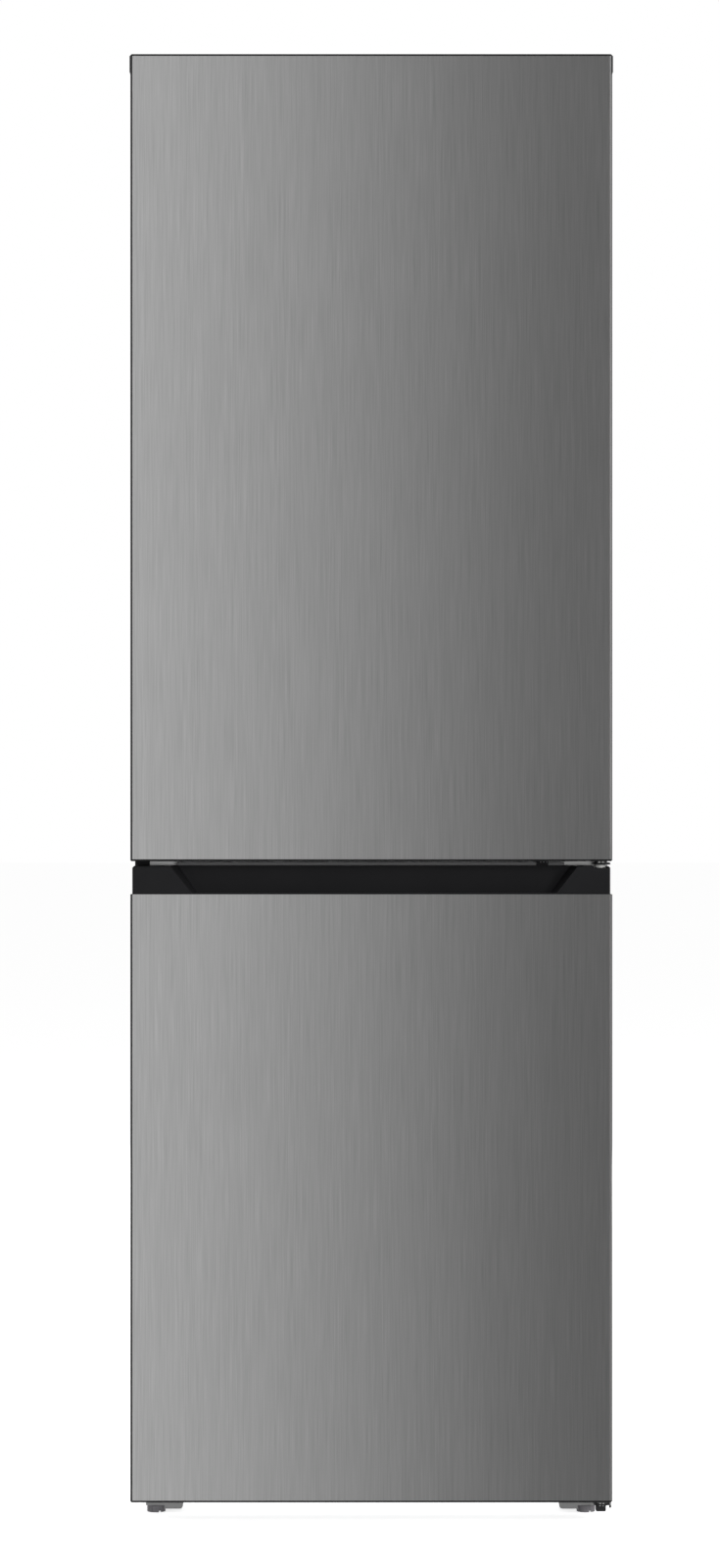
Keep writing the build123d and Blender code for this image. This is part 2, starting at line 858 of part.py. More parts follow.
def shelf_trims():
    """Plastic nosings that grip the front edge of each pane."""
    trims = []
    x = (-shelf_half, shelf_half)
    for level in [crisper_cover_z] + shelf_levels:
        nose = block(x, (shelf_front_y, ledge_start_y - 0.5), (level - 5, level + glass + 4))
        nose = fillet(nose.edges().filter_by(Axis.X).group_by(Axis.Y)[0], 3.0)
        groove = block(x, (pane_front_y, ledge_start_y), (level, level + glass))
        trims.append(nose - groove)
    return Compound(trims)


housing_half = 115.0
housing_setback = 49.5
housing_depth = 140.5
housing_height = 40.0
housing_x = (-housing_half, housing_half)
housing_y = (cabinet_front_y + housing_setback, cabinet_front_y + housing_setback + housing_depth)
housing_low = fridge_ceiling - housing_height
knob_x = 70.0
knob_z = fridge_ceiling - housing_height / 2
knob_radius = 15.0
knob_depth = 11.0
knob_shaft = 3.0
lens_x = (-95.0, 35.0)
lens_inset = 18.0
lens_y = (housing_y[0] + lens_inset, housing_y[1] - lens_inset)
lens_wall = 2.0
lens_proud = 4.0
lens_sunk = 8.0


def on_housing_front(part):
    """The part, modelled along +Z, placed on the knob's axis and pointing to the front."""
    return Pos(knob_x, housing_y[0], knob_z) * Rot(90, 0, 0) * part


def control_housing():
    """Ceiling housing with the lamp and the thermostat."""
    box = block(housing_x, housing_y, (housing_low, fridge_ceiling))
    lower_edges = box.edges().filter_by(Axis.X).group_by(Axis.Z)[0]
    box = fillet(lower_edges, 10.0)
    bore = on_housing_front(Cylinder(knob_shaft + pin_play, 24))
    return box - block(lens_x, lens_y, (housing_low, housing_low + lens_sunk)) - bore


def lamp_lens():
    """Clear cover over the lamp, sunk in the housing's underside."""
    low, high = housing_low - lens_proud, housing_low + lens_sunk
    lens = block(lens_x, lens_y, (low, high))
    lens = chamfer(lens.faces().sort_by(Axis.Z)[0].edges(), 3.0)
    hollow = block(
        (lens_x[0] + lens_wall, lens_x[1] - lens_wall),
        (lens_y[0] + lens_wall, lens_y[1] - lens_wall),
        (low + lens_wall, high),
    )
    return lens - hollow


def thermostat_knob():
    """Round knob with a grip bar, its stub shaft in the housing's front."""
    grip_half, rim_depth, shaft_length = 3.5, 4.0, 9.0
    rim_disc = extrude(RegularPolygon(knob_radius, 40), rim_depth)
    bar = Cylinder(knob_radius, knob_depth) & Box(2 * grip_half, 2 * knob_radius, 2 * knob_depth)
    shaft = extrude(RegularPolygon(knob_shaft, 12), -shaft_length)
    knob = Pos(0, 0, contact_gap) * (rim_disc + shaft)
    knob += Pos(0, 0, contact_gap + knob_depth / 2) * bar
    return on_housing_front(knob)


# ---- Drawers ----
def open_box(half, y, z):
    """Moulded tray, wider at the rim than at the floor."""
    low_y, high_y = y
    low, high = z
    tall = high - low
    length = high_y - low_y
    wall = drawer_wall
    outer = chamfer(Rectangle(2 * half, length).vertices(), drawer_corner)
    inner = Rectangle(2 * (half - wall), length - 2 * wall)
    inner = chamfer(inner.vertices(), drawer_corner - wall / 2)
    rim_plane = Plane(origin=(0, (low_y + high_y) / 2, high), z_dir=(0, 0, -1))
    body = extrude(rim_plane * outer, tall, taper=drawer_draft)
    return body - extrude(rim_plane * inner, tall - wall, taper=drawer_draft)


def drawer(half, face_y, back_y, z):
    """Tray with a thick front panel, which has a finger slot under its upper edge."""
    low, high = z
    tray_front = face_y + drawer_front - 4
    tray = open_box(half - front_overlap, (tray_front, back_y), (low, high - rim_drop))
    panel = block((-half, half), (face_y, face_y + drawer_front), z)
    tray -= block((-half, half), (face_y, face_y + drawer_front - 1), z)
    panel = chamfer(panel.faces().sort_by(Axis.Y)[0].edges(), 2.0)
    slot = extrude(SlotOverall(2 * slot_half, slot_height), 60, both=True)
    slot_z = high - slot_drop - slot_height / 2
    return panel + tray - Pos(0, face_y, slot_z) * Rot(90, 0, 0) * slot


def crisper_drawer():
    z = (fridge_floor + contact_gap, fridge_floor + crisper_height - 4)
    return drawer(fridge_half - 13, crisper_front_y, fridge_back_y - 16, z)


def freezer_drawer(number):
    """One of the three freezer drawers, counted from below."""
    low = drawer_levels[number] + contact_gap
    ceilings = (step_high + 2, top_drawer_z - ledge_height, freezer_ceiling)
    back = step_y if number == 0 else freezer_back_y
    z = (low, ceilings[number] - 8)
    return drawer(freezer_half - drawer_side_gap, drawer_face_y, back - 12, z)


# ---- Doors ----
panel_inner_width = width - 2 * sheet
core_depth = door_thickness - sheet - liner_wall
core_y = front_y + sheet + core_depth / 2


def hinge_pocket():
    """Room over the upper door's corner for the top hinge's arm, behind a front rim."""
    return block(
        (hinge_x - 30, width),
        (front_y + pocket_rim, door_back_y + 1),
        (top_arm_z[0] - 0.6, height + 1),
    )


def door_panel(z):
    """Steel panel, bent around both sides of the door and returned at the back."""
    outer = RectangleRounded(width, door_thickness, panel_bend)
    inner = RectangleRounded(panel_inner_width, door_thickness - 2 * sheet, panel_bend - sheet)
    mouth = Pos(0, door_thickness / 2) * Rectangle(width - 2 * hem, 4 * sheet)
    return slab(outer - inner - mouth, door_mid_y, z)


def door_core(z):
    """Whatever fills the panel from its front sheet to the liner: caps' plugs and foam."""
    plan = RectangleRounded(panel_inner_width, core_depth, panel_bend - sheet)
    return slab(plan, core_y, z)


def rim_plate(z):
    """Thin end plate over the whole plan of a door."""
    return slab(RectangleRounded(width, door_thickness, panel_bend), door_mid_y, z)


def pin_bore(z):
    return upright(hinge_x, hinge_y, pin_radius + pin_play, z)


fridge_panel_z = (fridge_door_bottom + rim, height - rim)
freezer_panel_z = (freezer_door_bottom + rim, steel_top)
handle_plug = plug_depth + 6
bore_depth = pin_length + 3
fridge_foam_z = (fridge_panel_z[0] + plug_depth, fridge_panel_z[1] - plug_depth)
freezer_foam_z = (freezer_panel_z[0] + plug_depth, steel_top - handle_plug)


def fridge_door_panel():
    return door_panel(fridge_panel_z) - hinge_pocket()


def freezer_door_panel():
    return door_panel(freezer_panel_z)


def fridge_door_top_cap():
    """End cap: thin rim on top, plug inside the panel and an ear down each side."""
    cap = rim_plate((height - rim, height))
    cap = chamfer(cap.edges().group_by(Axis.Z)[-1], rim_chamfer)
    cap += door_core((height - rim - plug_depth, height - rim))
    for side in (-1, 1):
        x = sorted((side * width / 2, side * (width / 2 + ear_proud)))
        z = (height - rim - ear_height, height - rim_chamfer - 0.6)
        ear = block(x, (front_y + panel_bend, door_back_y - 2), z)
        low_edge = ear.edges().filter_by(Axis.Y).group_by(Axis.Z)[0]
        outer_edge = low_edge.sort_by(Axis.X)[-1 if side > 0 else 0]
        cap += chamfer(outer_edge, ear_proud * 0.8)
    cap -= hinge_pocket()
    return cap - pin_bore((height - rim - plug_depth - 1, height))


groove_x = (-245.0, 249.0)
groove_y = (front_y + 12, front_y + 42)
groove_height = 16.0
groove_corner = 7.0


def fridge_door_bottom_cap():
    """End cap with a finger groove on its underside, over the other door's recess."""
    low = fridge_door_bottom
    groove = block(groove_x, groove_y, (low - 1, low + groove_height))
    groove = fillet(groove.edges().filter_by(Axis.X).group_by(Axis.Z)[-1], groove_corner)
    return bottom_cap(low) - groove


def bottom_cap(low):
    """End cap at the foot of a door: thin rim, plug inside the panel, bore for the hinge pin."""
    cap = rim_plate((low, low + rim))
    cap = chamfer(cap.edges().group_by(Axis.Z)[0], rim_chamfer)
    cap += door_core((low + rim, low + rim + plug_depth))
    return cap - pin_bore((low - 1, low + bore_depth))


recess_back_y = front_y + recess_depth
recess_lip_z = steel_top + 2  # upper edge of the lip in front of the groove
recess_lean = 11.0  # the back wall's foot in front of its head
recess_splay = 12.0  # degrees, ends of the recess


def recess_channel():
    """The recess seen from the side: concave back wall and a groove behind the front lip."""
    lip_y = front_y + handle_setback + recess_lip
    wall_y = recess_back_y - recess_lean
    groove_z = steel_top - recess_groove
    above, front = freezer_door_top + 12, front_y - 5
    mouth = [
        (recess_back_y, freezer_door_top),
        (recess_back_y, above),
        (front, above),
        (front, recess_lip_z),
        (lip_y, recess_lip_z),
        (lip_y, groove_z + 4),
    ]
    groove = ThreePointArc(mouth[-1], ((lip_y + wall_y) / 2, groove_z), (wall_y, groove_z + 4))
    wall = ThreePointArc((wall_y, groove_z + 4), (recess_back_y - 5, steel_top + 8), mouth[0])
    outline = Polyline(*mouth) + groove + wall
    face = make_face([Plane.YZ * edge for edge in outline.edges()])
    return extrude(face, width, both=True)


def recess_cutter():
    """Finger recess: its channel between two ends that lean outwards."""
    slope = (recess_top_half - recess_bottom_half) / (freezer_door_top - recess_lip_z)
    past = 30.0
    top_half = recess_top_half + slope * past
    bottom_half = recess_bottom_half - slope * past
    top_z, bottom_z = freezer_door_top + past, recess_lip_z - past
    trapezoid = Polyline(
        (-top_half, front_y, top_z),
        (top_half, front_y, top_z),
        (bottom_half, front_y, bottom_z),
        (-bottom_half, front_y, bottom_z),
        close=True,
    )
    face = make_face(trapezoid)
    tool = extrude(face, recess_depth + 5, dir=(0, 1, 0), taper=recess_splay)
    tool += extrude(face, 6, dir=(0, -1, 0))
    return recess_channel() & Pos(recess_x, 0, 0) * tool


def rear_lip():
    """Low lip along the recess's head, with a small block near its right end."""
    top = freezer_door_top
    y = (recess_back_y + 4, recess_back_y + 16)
    lip = block((-rear_lip_half, rear_lip_half), y, (top - 1, top + rear_lip_height))
    lip = fillet(lip.edges().filter_by(Axis.X).group_by(Axis.Z)[-1], 1.5)
    return lip + block(stop_x, (y[0] - 3, y[0] + 3), (top - 1, top + stop_height))


def freezer_door_handle_cap():
    """End cap of the lower door: dark band with the scooped recess that serves as its handle."""
    top = freezer_door_top
    band = RectangleRounded(width - 2 * handle_inset, door_thickness - handle_setback, panel_bend)
    cap = slab(band, door_mid_y + handle_setback / 2, (steel_top, top))
    cap = chamfer(cap.edges().group_by(Axis.Z)[-1], 2.0)
    cap += door_core((steel_top - handle_plug, steel_top))
    cap = cap + rear_lip() - recess_cutter()
    corner_x = (hinge_x - washer_radius - 3, hinge_x + washer_radius + 0.8)
    corner = block(corner_x, (front_y - 1, door_back_y + 1), (pocket_floor(), top + 1))
    return cap - corner - pin_bore((pocket_floor() - bore_depth, top))


def door_liner(z, opening_half, opening_z, dyke):
    """Inner panel with a raised dyke all round, which carries the bins and meets the gasket."""
    half = width / 2 - hem - 0.2
    plate = block((-half, half), (door_back_y - liner_wall, door_back_y), z)
    low, high = opening_z[0] + dyke_inset, opening_z[1] - dyke_inset
    outer = opening_half - dyke_inset
    y = (door_back_y, door_back_y + dyke)
    inner_z = (low + dyke_width, high - dyke_width)
    wall = frame_ring(outer, outer - dyke_width, y, (low, high), inner_z)
    crest = wall.faces().sort_by(Axis.Y)[-1]
    return plate + chamfer(crest.edges(), dyke_chamfer)


def fridge_door_liner():
    """Inner panel of the upper door, with a pair of lugs under each bin."""
    opening_z = (fridge_floor, fridge_ceiling)
    liner = door_liner(fridge_panel_z, fridge_half, opening_z, dyke_depth_fridge)
    liner -= hinge_pocket()
    inner = fridge_half - dyke_inset - dyke_width
    lug_y = (door_back_y, door_back_y + dyke_depth_fridge - 8)
    for level in bin_levels:
        lug = block((inner - 11, inner), lug_y, (level - 8, level))
        liner += lug + mirror(lug, Plane.YZ)
    return liner


def freezer_door_liner():
    z = (freezer_panel_z[0], steel_top)
    return door_liner(z, freezer_half, (freezer_floor, freezer_ceiling), dyke_depth_freezer)


gasket_outer = cabinet_half - 25
gasket_width = 14.0
gasket_foot = 3.5
bulb_inset = 2.0


def gasket(low, high):
    """Magnetic gasket: mounting foot on the liner and a softer bulb towards the cabinet."""
    inner = gasket_outer - gasket_width
    split_y = door_back_y + gasket_foot
    inner_z = (low + gasket_width, high - gasket_width)
    foot_ring = frame_ring(gasket_outer, inner, (door_back_y, split_y), (low, high), inner_z)
    bulb = frame_ring(
        gasket_outer - bulb_inset,
        inner + bulb_inset,
        (split_y, cabinet_front_y - contact_gap),
        (low + bulb_inset, high - bulb_inset),
        (inner_z[0] - bulb_inset, inner_z[1] + bulb_inset),
    )
    return foot_ring + bulb


def fridge_door_gasket():
    return gasket(fridge_floor - 18, fridge_ceiling + 18)


def freezer_door_gasket():
    return gasket(freezer_floor - 32, freezer_ceiling + 18)


def door_bin(level):
    """Bottle bin between the dykes, its end walls higher next to the door."""
    half = fridge_half - dyke_inset - dyke_width - contact_gap
    back, front = door_back_y + contact_gap, bin_back_y
    high = level + bin_height
    profile = [
        (back, level),
        (front - bin_toe, level),
        (front, level + 2 * bin_toe),
        (front, high - bin_drop),
        (back + bin_shoulder, high),
        (back, high),
    ]
    body = side_profile(profile, (-half, half))
    body = chamfer(body.edges().filter_by(Axis.Z).group_by(Axis.Y)[-1], bin_corner)
    floor = level + bin_wall
    back, front, above = back + bin_wall, front - bin_wall, high + 5
    profile = [
        (back, floor),
        (front - bin_toe, floor),
        (front, floor + 2 * bin_toe),
        (front, above),
        (back, above),
    ]
    hollow = side_profile(profile, (-half + bin_wall, half - bin_wall))
    front_edges = hollow.edges().filter_by(Axis.Z).group_by(Axis.Y)[-1]
    return body - chamfer(front_edges, bin_corner - bin_wall / 2)


# ---- Every node of the part ----
nodes = {
    "side_panel_left": lambda: side_panel(-1),
    "side_panel_right": lambda: side_panel(1),
    "top_panel": top_panel,
    "rear_panel": rear_panel,
    "bottom_tray": bottom_tray,
    "insulation_foam": insulation_foam,
    "fridge_liner": fridge_liner,
    "freezer_liner": freezer_liner,
    "evaporator": evaporator,
    "mullion_rail": mullion_rail,
    "mullion_plug": mullion_plug,
    "top_hinge": top_hinge,
    "top_hinge_cover": top_hinge_cover,
    "middle_hinge": middle_hinge,
    "bottom_hinge": bottom_hinge,
    "hinge_washers": hinge_washers,
    "hinge_screws": hinge_screws,
    "foot_bracket_left": lambda: foot_bracket(-1),
    "foot_bracket_right": lambda: foot_bracket(1),
    "foot_left": lambda: foot(-1),
    "foot_right": lambda: foot(1),
    "compressor_base": compressor_base,
    "roller_left": lambda: roller(-1),
    "roller_right": lambda: roller(1),
    "compressor": compressor,
    "compressor_mounts": compressor_mounts,
    "terminal_box": terminal_box,
    "drain_tray": drain_tray,
    "condenser": condenser,
    "condenser_clips": condenser_clips,
    "refrigerant_tubes": refrigerant_tubes,
    "cord_gland": cord_gland,
    "shelf_glass_lower": lambda: shelf_glass(shelf_levels[0]),
    "shelf_glass_middle": lambda: shelf_glass(shelf_levels[1]),
    "shelf_glass_upper": lambda: shelf_glass(shelf_levels[2]),
    "crisper_cover": lambda: shelf_glass(crisper_cover_z),
    "shelf_trims": shelf_trims,
    "control_housing": control_housing,
    "lamp_lens": lamp_lens,
    "thermostat_knob": thermostat_knob,
    "crisper_drawer": crisper_drawer,
    "freezer_drawer_bottom": lambda: freezer_drawer(0),
    "freezer_drawer_middle": lambda: freezer_drawer(1),
    "freezer_drawer_top": lambda: freezer_drawer(2),
    "fridge_door_panel": fridge_door_panel,
    "fridge_door_top_cap": fridge_door_top_cap,
    "fridge_door_bottom_cap": fridge_door_bottom_cap,
    "fridge_door_foam": lambda: door_core(fridge_foam_z),
    "fridge_door_liner": fridge_door_liner,
    "fridge_door_gasket": fridge_door_gasket,
    "door_bin_lower": lambda: door_bin(bin_levels[0]),
    "door_bin_middle": lambda: door_bin(bin_levels[1]),
    "door_bin_upper": lambda: door_bin(bin_levels[2]),
    "freezer_door_panel": freezer_door_panel,
    "freezer_door_handle_cap": freezer_door_handle_cap,
    "freezer_door_bottom_cap": lambda: bottom_cap(freezer_door_bottom),
    "freezer_door_foam": lambda: door_core(freezer_foam_z),
    "freezer_door_liner": freezer_door_liner,
    "freezer_door_gasket": freezer_door_gasket,
}

os.makedirs("parts", exist_ok=True)
for name, build in nodes.items():
    export_step(build(), f"parts/{name}.step")
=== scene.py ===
import json
import math

import bmesh
import bpy
from mathutils import Matrix, Vector


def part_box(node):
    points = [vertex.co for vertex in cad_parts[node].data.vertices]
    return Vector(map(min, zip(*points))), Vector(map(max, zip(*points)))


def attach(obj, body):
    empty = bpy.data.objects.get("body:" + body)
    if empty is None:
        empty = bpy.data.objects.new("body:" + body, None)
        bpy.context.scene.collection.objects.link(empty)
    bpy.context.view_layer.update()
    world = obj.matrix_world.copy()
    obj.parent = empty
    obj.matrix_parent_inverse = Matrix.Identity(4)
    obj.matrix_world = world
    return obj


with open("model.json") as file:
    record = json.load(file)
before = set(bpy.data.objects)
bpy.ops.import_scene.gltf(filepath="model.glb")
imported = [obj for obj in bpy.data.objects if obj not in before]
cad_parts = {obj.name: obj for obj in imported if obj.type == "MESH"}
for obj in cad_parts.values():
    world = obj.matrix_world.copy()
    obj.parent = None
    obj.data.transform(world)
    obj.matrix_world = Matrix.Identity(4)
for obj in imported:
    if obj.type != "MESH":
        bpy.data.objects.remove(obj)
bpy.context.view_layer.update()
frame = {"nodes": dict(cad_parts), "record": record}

NODES = frame["nodes"]
SLOT_OF = {row["node"]: row["material_slot"] for row in frame["record"]["subparts"]}
BODIES = frame["record"]["behaviour"]["bodies"]
BODY_OF = {node: body for body, nodes in BODIES.items() for node in nodes}
MM = 0.001
FRONT, BACK, LEFT, UP, DOWN = (0, -1, 0), (0, 1, 0), (-1, 0, 0), (0, 0, 1), (0, 0, -1)


# ---- Procedural materials ----
def new_material(name, color, roughness, metallic=0.0, specular=0.5):
    """A Principled material with its uniform values on the shader's own sockets."""
    material = bpy.data.materials.new(name)
    material.use_nodes = True
    tree = material.node_tree
    shader = tree.nodes["Principled BSDF"]
    shader.inputs["Base Color"].default_value = (*color, 1.0)
    shader.inputs["Roughness"].default_value = roughness
    shader.inputs["Metallic"].default_value = metallic
    shader.inputs["Specular IOR Level"].default_value = specular
    material.diffuse_color = (*color, 1.0)
    return material, tree, shader


def noise(tree, scale, detail=3.0, stretch=(1.0, 1.0, 1.0)):
    """Noise in the object's own metres; scale counts features per metre."""
    place = tree.nodes.new("ShaderNodeTexCoord")
    mapping = tree.nodes.new("ShaderNodeMapping")
    mapping.inputs["Scale"].default_value = stretch
    texture = tree.nodes.new("ShaderNodeTexNoise")
    texture.inputs["Scale"].default_value = scale
    texture.inputs["Detail"].default_value = detail
    tree.links.new(place.outputs["Object"], mapping.inputs["Vector"])
    tree.links.new(mapping.outputs["Vector"], texture.inputs["Vector"])
    return texture.outputs["Fac"]


def ramp(tree, value, start, end, low=0.0, high=1.0):
    """Maps start..end to low..high and holds both ends; start may be past end."""
    node = tree.nodes.new("ShaderNodeMapRange")
    node.inputs["From Min"].default_value = start
    node.inputs["From Max"].default_value = end
    node.inputs["To Min"].default_value = low
    node.inputs["To Max"].default_value = high
    tree.links.new(value, node.inputs["Value"])
    return node.outputs["Result"]


def spread(tree, value, low, high, width=0.5):
    """Maps a noise value, which stays near 0.5, to the range low..high."""
    return ramp(tree, value, 0.5 - width / 2, 0.5 + width / 2, low, high)


def ramp_along(tree, axis, start, end, low=0.0, high=1.0):
    """Ramp between two places on an axis of the object."""
    place = tree.nodes.new("ShaderNodeTexCoord")
    parts = tree.nodes.new("ShaderNodeSeparateXYZ")
    tree.links.new(place.outputs["Object"], parts.inputs["Vector"])
    return ramp(tree, parts.outputs[axis], start, end, low, high)


def combine(tree, operation, first, second):
    """Sum, product or maximum of two values."""
    node = tree.nodes.new("ShaderNodeMath")
    node.operation = operation
    tree.links.new(first, node.inputs[0])
    tree.links.new(second, node.inputs[1])
    return node.outputs[0]


def recolour(tree, shader, mask, color):
    """The given colour where the mask is 1, over what is linked to the base colour."""
    mix = tree.nodes.new("ShaderNodeMix")
    mix.data_type = "RGBA"
    mix.inputs["B"].default_value = (*color, 1.0)
    tree.links.new(shader.inputs["Base Color"].links[0].from_socket, mix.inputs["A"])
    tree.links.new(mask, mix.inputs["Factor"])
    tree.links.new(mix.outputs["Result"], shader.inputs["Base Color"])


def tint(tree, shader, color, factor):
    """Base colour times a factor that varies over the surface."""
    node = tree.nodes.new("ShaderNodeVectorMath")
    node.operation = "SCALE"
    node.inputs[0].default_value = color
    tree.links.new(factor, node.inputs["Scale"])
    tree.links.new(node.outputs["Vector"], shader.inputs["Base Color"])


def cloudy_colour(tree, shader, color, scale, vary, detail=3.0):
    """Base colour that drifts by the share vary to either side."""
    tint(tree, shader, color, spread(tree, noise(tree, scale, detail), 1 - vary, 1 + vary))


def cloudy_gloss(tree, shader, scale, low, high, detail=4.0):
    """Roughness that drifts between low and high."""
    gloss = spread(tree, noise(tree, scale, detail), low, high)
    tree.links.new(gloss, shader.inputs["Roughness"])


def bump(tree, shader, height, distance):
    node = tree.nodes.new("ShaderNodeBump")
    node.inputs["Strength"].default_value = 1.0
    node.inputs["Distance"].default_value = distance
    tree.links.new(height, node.inputs["Height"])
    tree.links.new(node.outputs["Normal"], shader.inputs["Normal"])


def moulded(name, color, roughness, specular=0.5, grain=900.0, depth=0.00003, vary=0.04):
    """Moulded plastic: fine texture, slightly uneven gloss and colour."""
    material, tree, shader = new_material(name, color, roughness, specular=specular)
    cloudy_colour(tree, shader, color, 18.0, vary)
    cloudy_gloss(tree, shader, 45.0, roughness * 0.88, roughness * 1.12)
    bump(tree, shader, noise(tree, grain, 2.0), depth)
    return material


def painted(name, color, roughness):
    """Painted sheet: orange peel, a little dust in the gloss."""
    material, tree, shader = new_material(name, color, roughness)
    cloudy_colour(tree, shader, color, 6.0, 0.02)
    cloudy_gloss(tree, shader, 30.0, roughness * 0.9, roughness * 1.15, detail=5.0)
    bump(tree, shader, noise(tree, 260.0, 1.0), 0.00002)
    return material


def bare_metal(name, color, roughness, vary=0.06):
    """Plated or drawn metal with a cloudy finish."""
    material, tree, shader = new_material(name, color, roughness, metallic=1.0)
    cloudy_colour(tree, shader, color, 180.0, vary, detail=4.0)
    cloudy_gloss(tree, shader, 90.0, roughness * 0.8, roughness * 1.2)
    return material


def see_through(name, color, roughness):
    """Glass or clear plastic."""
    material, tree, shader = new_material(name, color, roughness)
    shader.inputs["Transmission Weight"].default_value = 1.0
    shader.inputs["IOR"].default_value = 1.45
    cloudy_gloss(tree, shader, 60.0, roughness * 0.7, roughness * 1.3, detail=3.0)
    return material


def brush_streaks(tree):
    """Upright streaks: noise stretched along Z, in a fine and a broad width."""
    fine = noise(tree, 1.0, 2.0, (1200.0, 1200.0, 14.0))
    broad = noise(tree, 1.0, 3.0, (420.0, 420.0, 7.0))
    mix = tree.nodes.new("ShaderNodeMix")
    mix.inputs["Factor"].default_value = 0.35
    tree.links.new(fine, mix.inputs["A"])
    tree.links.new(broad, mix.inputs["B"])
    return mix.outputs["Result"]


def painted_bend_reflection(tree):
    """Mask for the painted dark reflection: 1 on the upright bends between a door's front and its
    sides, and 0 elsewhere.
    """
    left = ramp_along(tree, "X", -0.2921, -0.2925)
    right = ramp_along(tree, "X", 0.2931, 0.2934)
    front = ramp_along(tree, "Y", -0.3125, -0.3145)
    return combine(tree, "MULTIPLY", combine(tree, "ADD", left, right), front)


def brushed_panel():
    """Stainless sheet brushed from top to bottom, with a painted dark reflection along its upright
    bends.
    """
    color, dark = (0.435, 0.435, 0.435), (0.022, 0.022, 0.023)
    material, tree, shader = new_material("brushed_panel", color, 0.28, metallic=1.0, specular=0.12)
    tint(tree, shader, color, spread(tree, brush_streaks(tree), 0.84, 1.16, width=0.45))
    # Painted dark reflection: the bends turn near black and lose their metal, standing in for dark
    # surroundings mirrored there.
    dark_reflection_mask = painted_bend_reflection(tree)
    recolour(tree, shader, dark_reflection_mask, dark)
    bare = ramp(tree, dark_reflection_mask, 0.0, 1.0, 1.0, 0.0)
    tree.links.new(bare, shader.inputs["Metallic"])
    shader.inputs["Anisotropic"].default_value = 0.65
    tangent = tree.nodes.new("ShaderNodeTangent")
    tangent.direction_type = "RADIAL"
    tangent.axis = "Z"
    tree.links.new(tangent.outputs["Tangent"], shader.inputs["Tangent"])
    return material


def black_handle():
    """Grained black plastic; the top of the lip behind the recess is painted dark grey as painted
    light, where light falls on it through the gap between the doors.
    """
    color, lip = (0.0105, 0.0105, 0.0112), (0.11, 0.11, 0.112)
    material, tree, shader = new_material("black_handle", color, 0.38, specular=0.05)
    cloudy_colour(tree, shader, color, 25.0, 0.06)
    # Painted light: a lighter grey on the black cap above the gap's floor, behind the stop block's
    # face.
    above = ramp_along(tree, "Z", 0.8066, 0.8069)
    behind = ramp_along(tree, "Y", -0.2842, -0.2839)
    recolour(tree, shader, combine(tree, "MULTIPLY", above, behind), lip)
    cloudy_gloss(tree, shader, 60.0, 0.34, 0.42)
    bump(tree, shader, noise(tree, 1100.0, 2.0), 0.00002)
    return material


def hinge_steel():
    """Plated steel with the arms painted near black as painted shade; the flanges behind the doors
    are bare plated sheet.
    """
    # The near-black base colour is painted shade on the arms; the plated colour is the flanges' own.
    color, plated = (0.02, 0.02, 0.021), (0.56, 0.56, 0.555)
    material, tree, shader = new_material("hinge_steel", color, 0.38, specular=0.2)
    cloudy_colour(tree, shader, color, 40.0, 0.1)
    recolour(tree, shader, ramp_along(tree, "Y", -0.2535, -0.2530), plated)
    cloudy_gloss(tree, shader, 80.0, 0.32, 0.44)
    return material


MATERIALS = {
    "brushed_panel": brushed_panel(),
    "cabinet_paint": painted("cabinet_paint", (0.36, 0.365, 0.37), 0.38),
    "zinc_sheet": bare_metal("zinc_sheet", (0.62, 0.63, 0.64), 0.42),
    "dark_trim": moulded("dark_trim", (0.009, 0.009, 0.0095), 0.45, specular=0.08),
    "black_handle": black_handle(),
    "liner_white": moulded("liner_white", (0.82, 0.83, 0.83), 0.32, grain=300.0, vary=0.01),
    "foam": moulded("foam", (0.78, 0.70, 0.48), 0.9, grain=400.0, depth=0.0004, vary=0.12),
    "gasket_grey": moulded("gasket_grey", (0.24, 0.245, 0.25), 0.6, vary=0.05),
    "rail_grey": painted("rail_grey", (0.58, 0.58, 0.58), 0.4),
    "hinge_steel": hinge_steel(),
    "washer_white": moulded("washer_white", (0.46, 0.46, 0.45), 0.4, vary=0.02),
    "screw_steel": bare_metal("screw_steel", (0.55, 0.55, 0.54), 0.3),
    "shelf_glass": see_through("shelf_glass", (0.86, 0.95, 0.92), 0.03),
    "trim_grey": moulded("trim_grey", (0.55, 0.56, 0.57), 0.35, vary=0.02),
    "clear_plastic": see_through("clear_plastic", (0.90, 0.94, 0.96), 0.12),
    "compressor_black": painted("compressor_black", (0.016, 0.016, 0.017), 0.28),
    "mount_rubber": moulded("mount_rubber", (0.025, 0.025, 0.025), 0.75),
    "box_black": moulded("box_black", (0.02, 0.02, 0.021), 0.5),
    "tray_white": moulded("tray_white", (0.74, 0.74, 0.71), 0.45, vary=0.03),
    "condenser_black": painted("condenser_black", (0.015, 0.015, 0.016), 0.42),
    "copper": bare_metal("copper", (0.72, 0.40, 0.26), 0.28, vary=0.12),
    "aluminium": bare_metal("aluminium", (0.78, 0.79, 0.80), 0.35),
    "foot_grey": moulded("foot_grey", (0.16, 0.155, 0.165), 0.5, vary=0.06),
    "bracket_steel": painted("bracket_steel", (0.27, 0.27, 0.27), 0.45),
    "roller_black": moulded("roller_black", (0.02, 0.02, 0.02), 0.5),
    "lens_clear": see_through("lens_clear", (0.96, 0.96, 0.94), 0.35),
}

for node, piece in NODES.items():
    piece.data.materials.clear()
    piece.data.materials.append(MATERIALS[SLOT_OF[node]])


# ---- Mesh helpers for the details ----
def placed(name, data):
    """An object in the scene with the given mesh, lamp or camera."""
    piece = bpy.data.objects.new(name, data)
    bpy.context.scene.collection.objects.link(piece)
    return piece


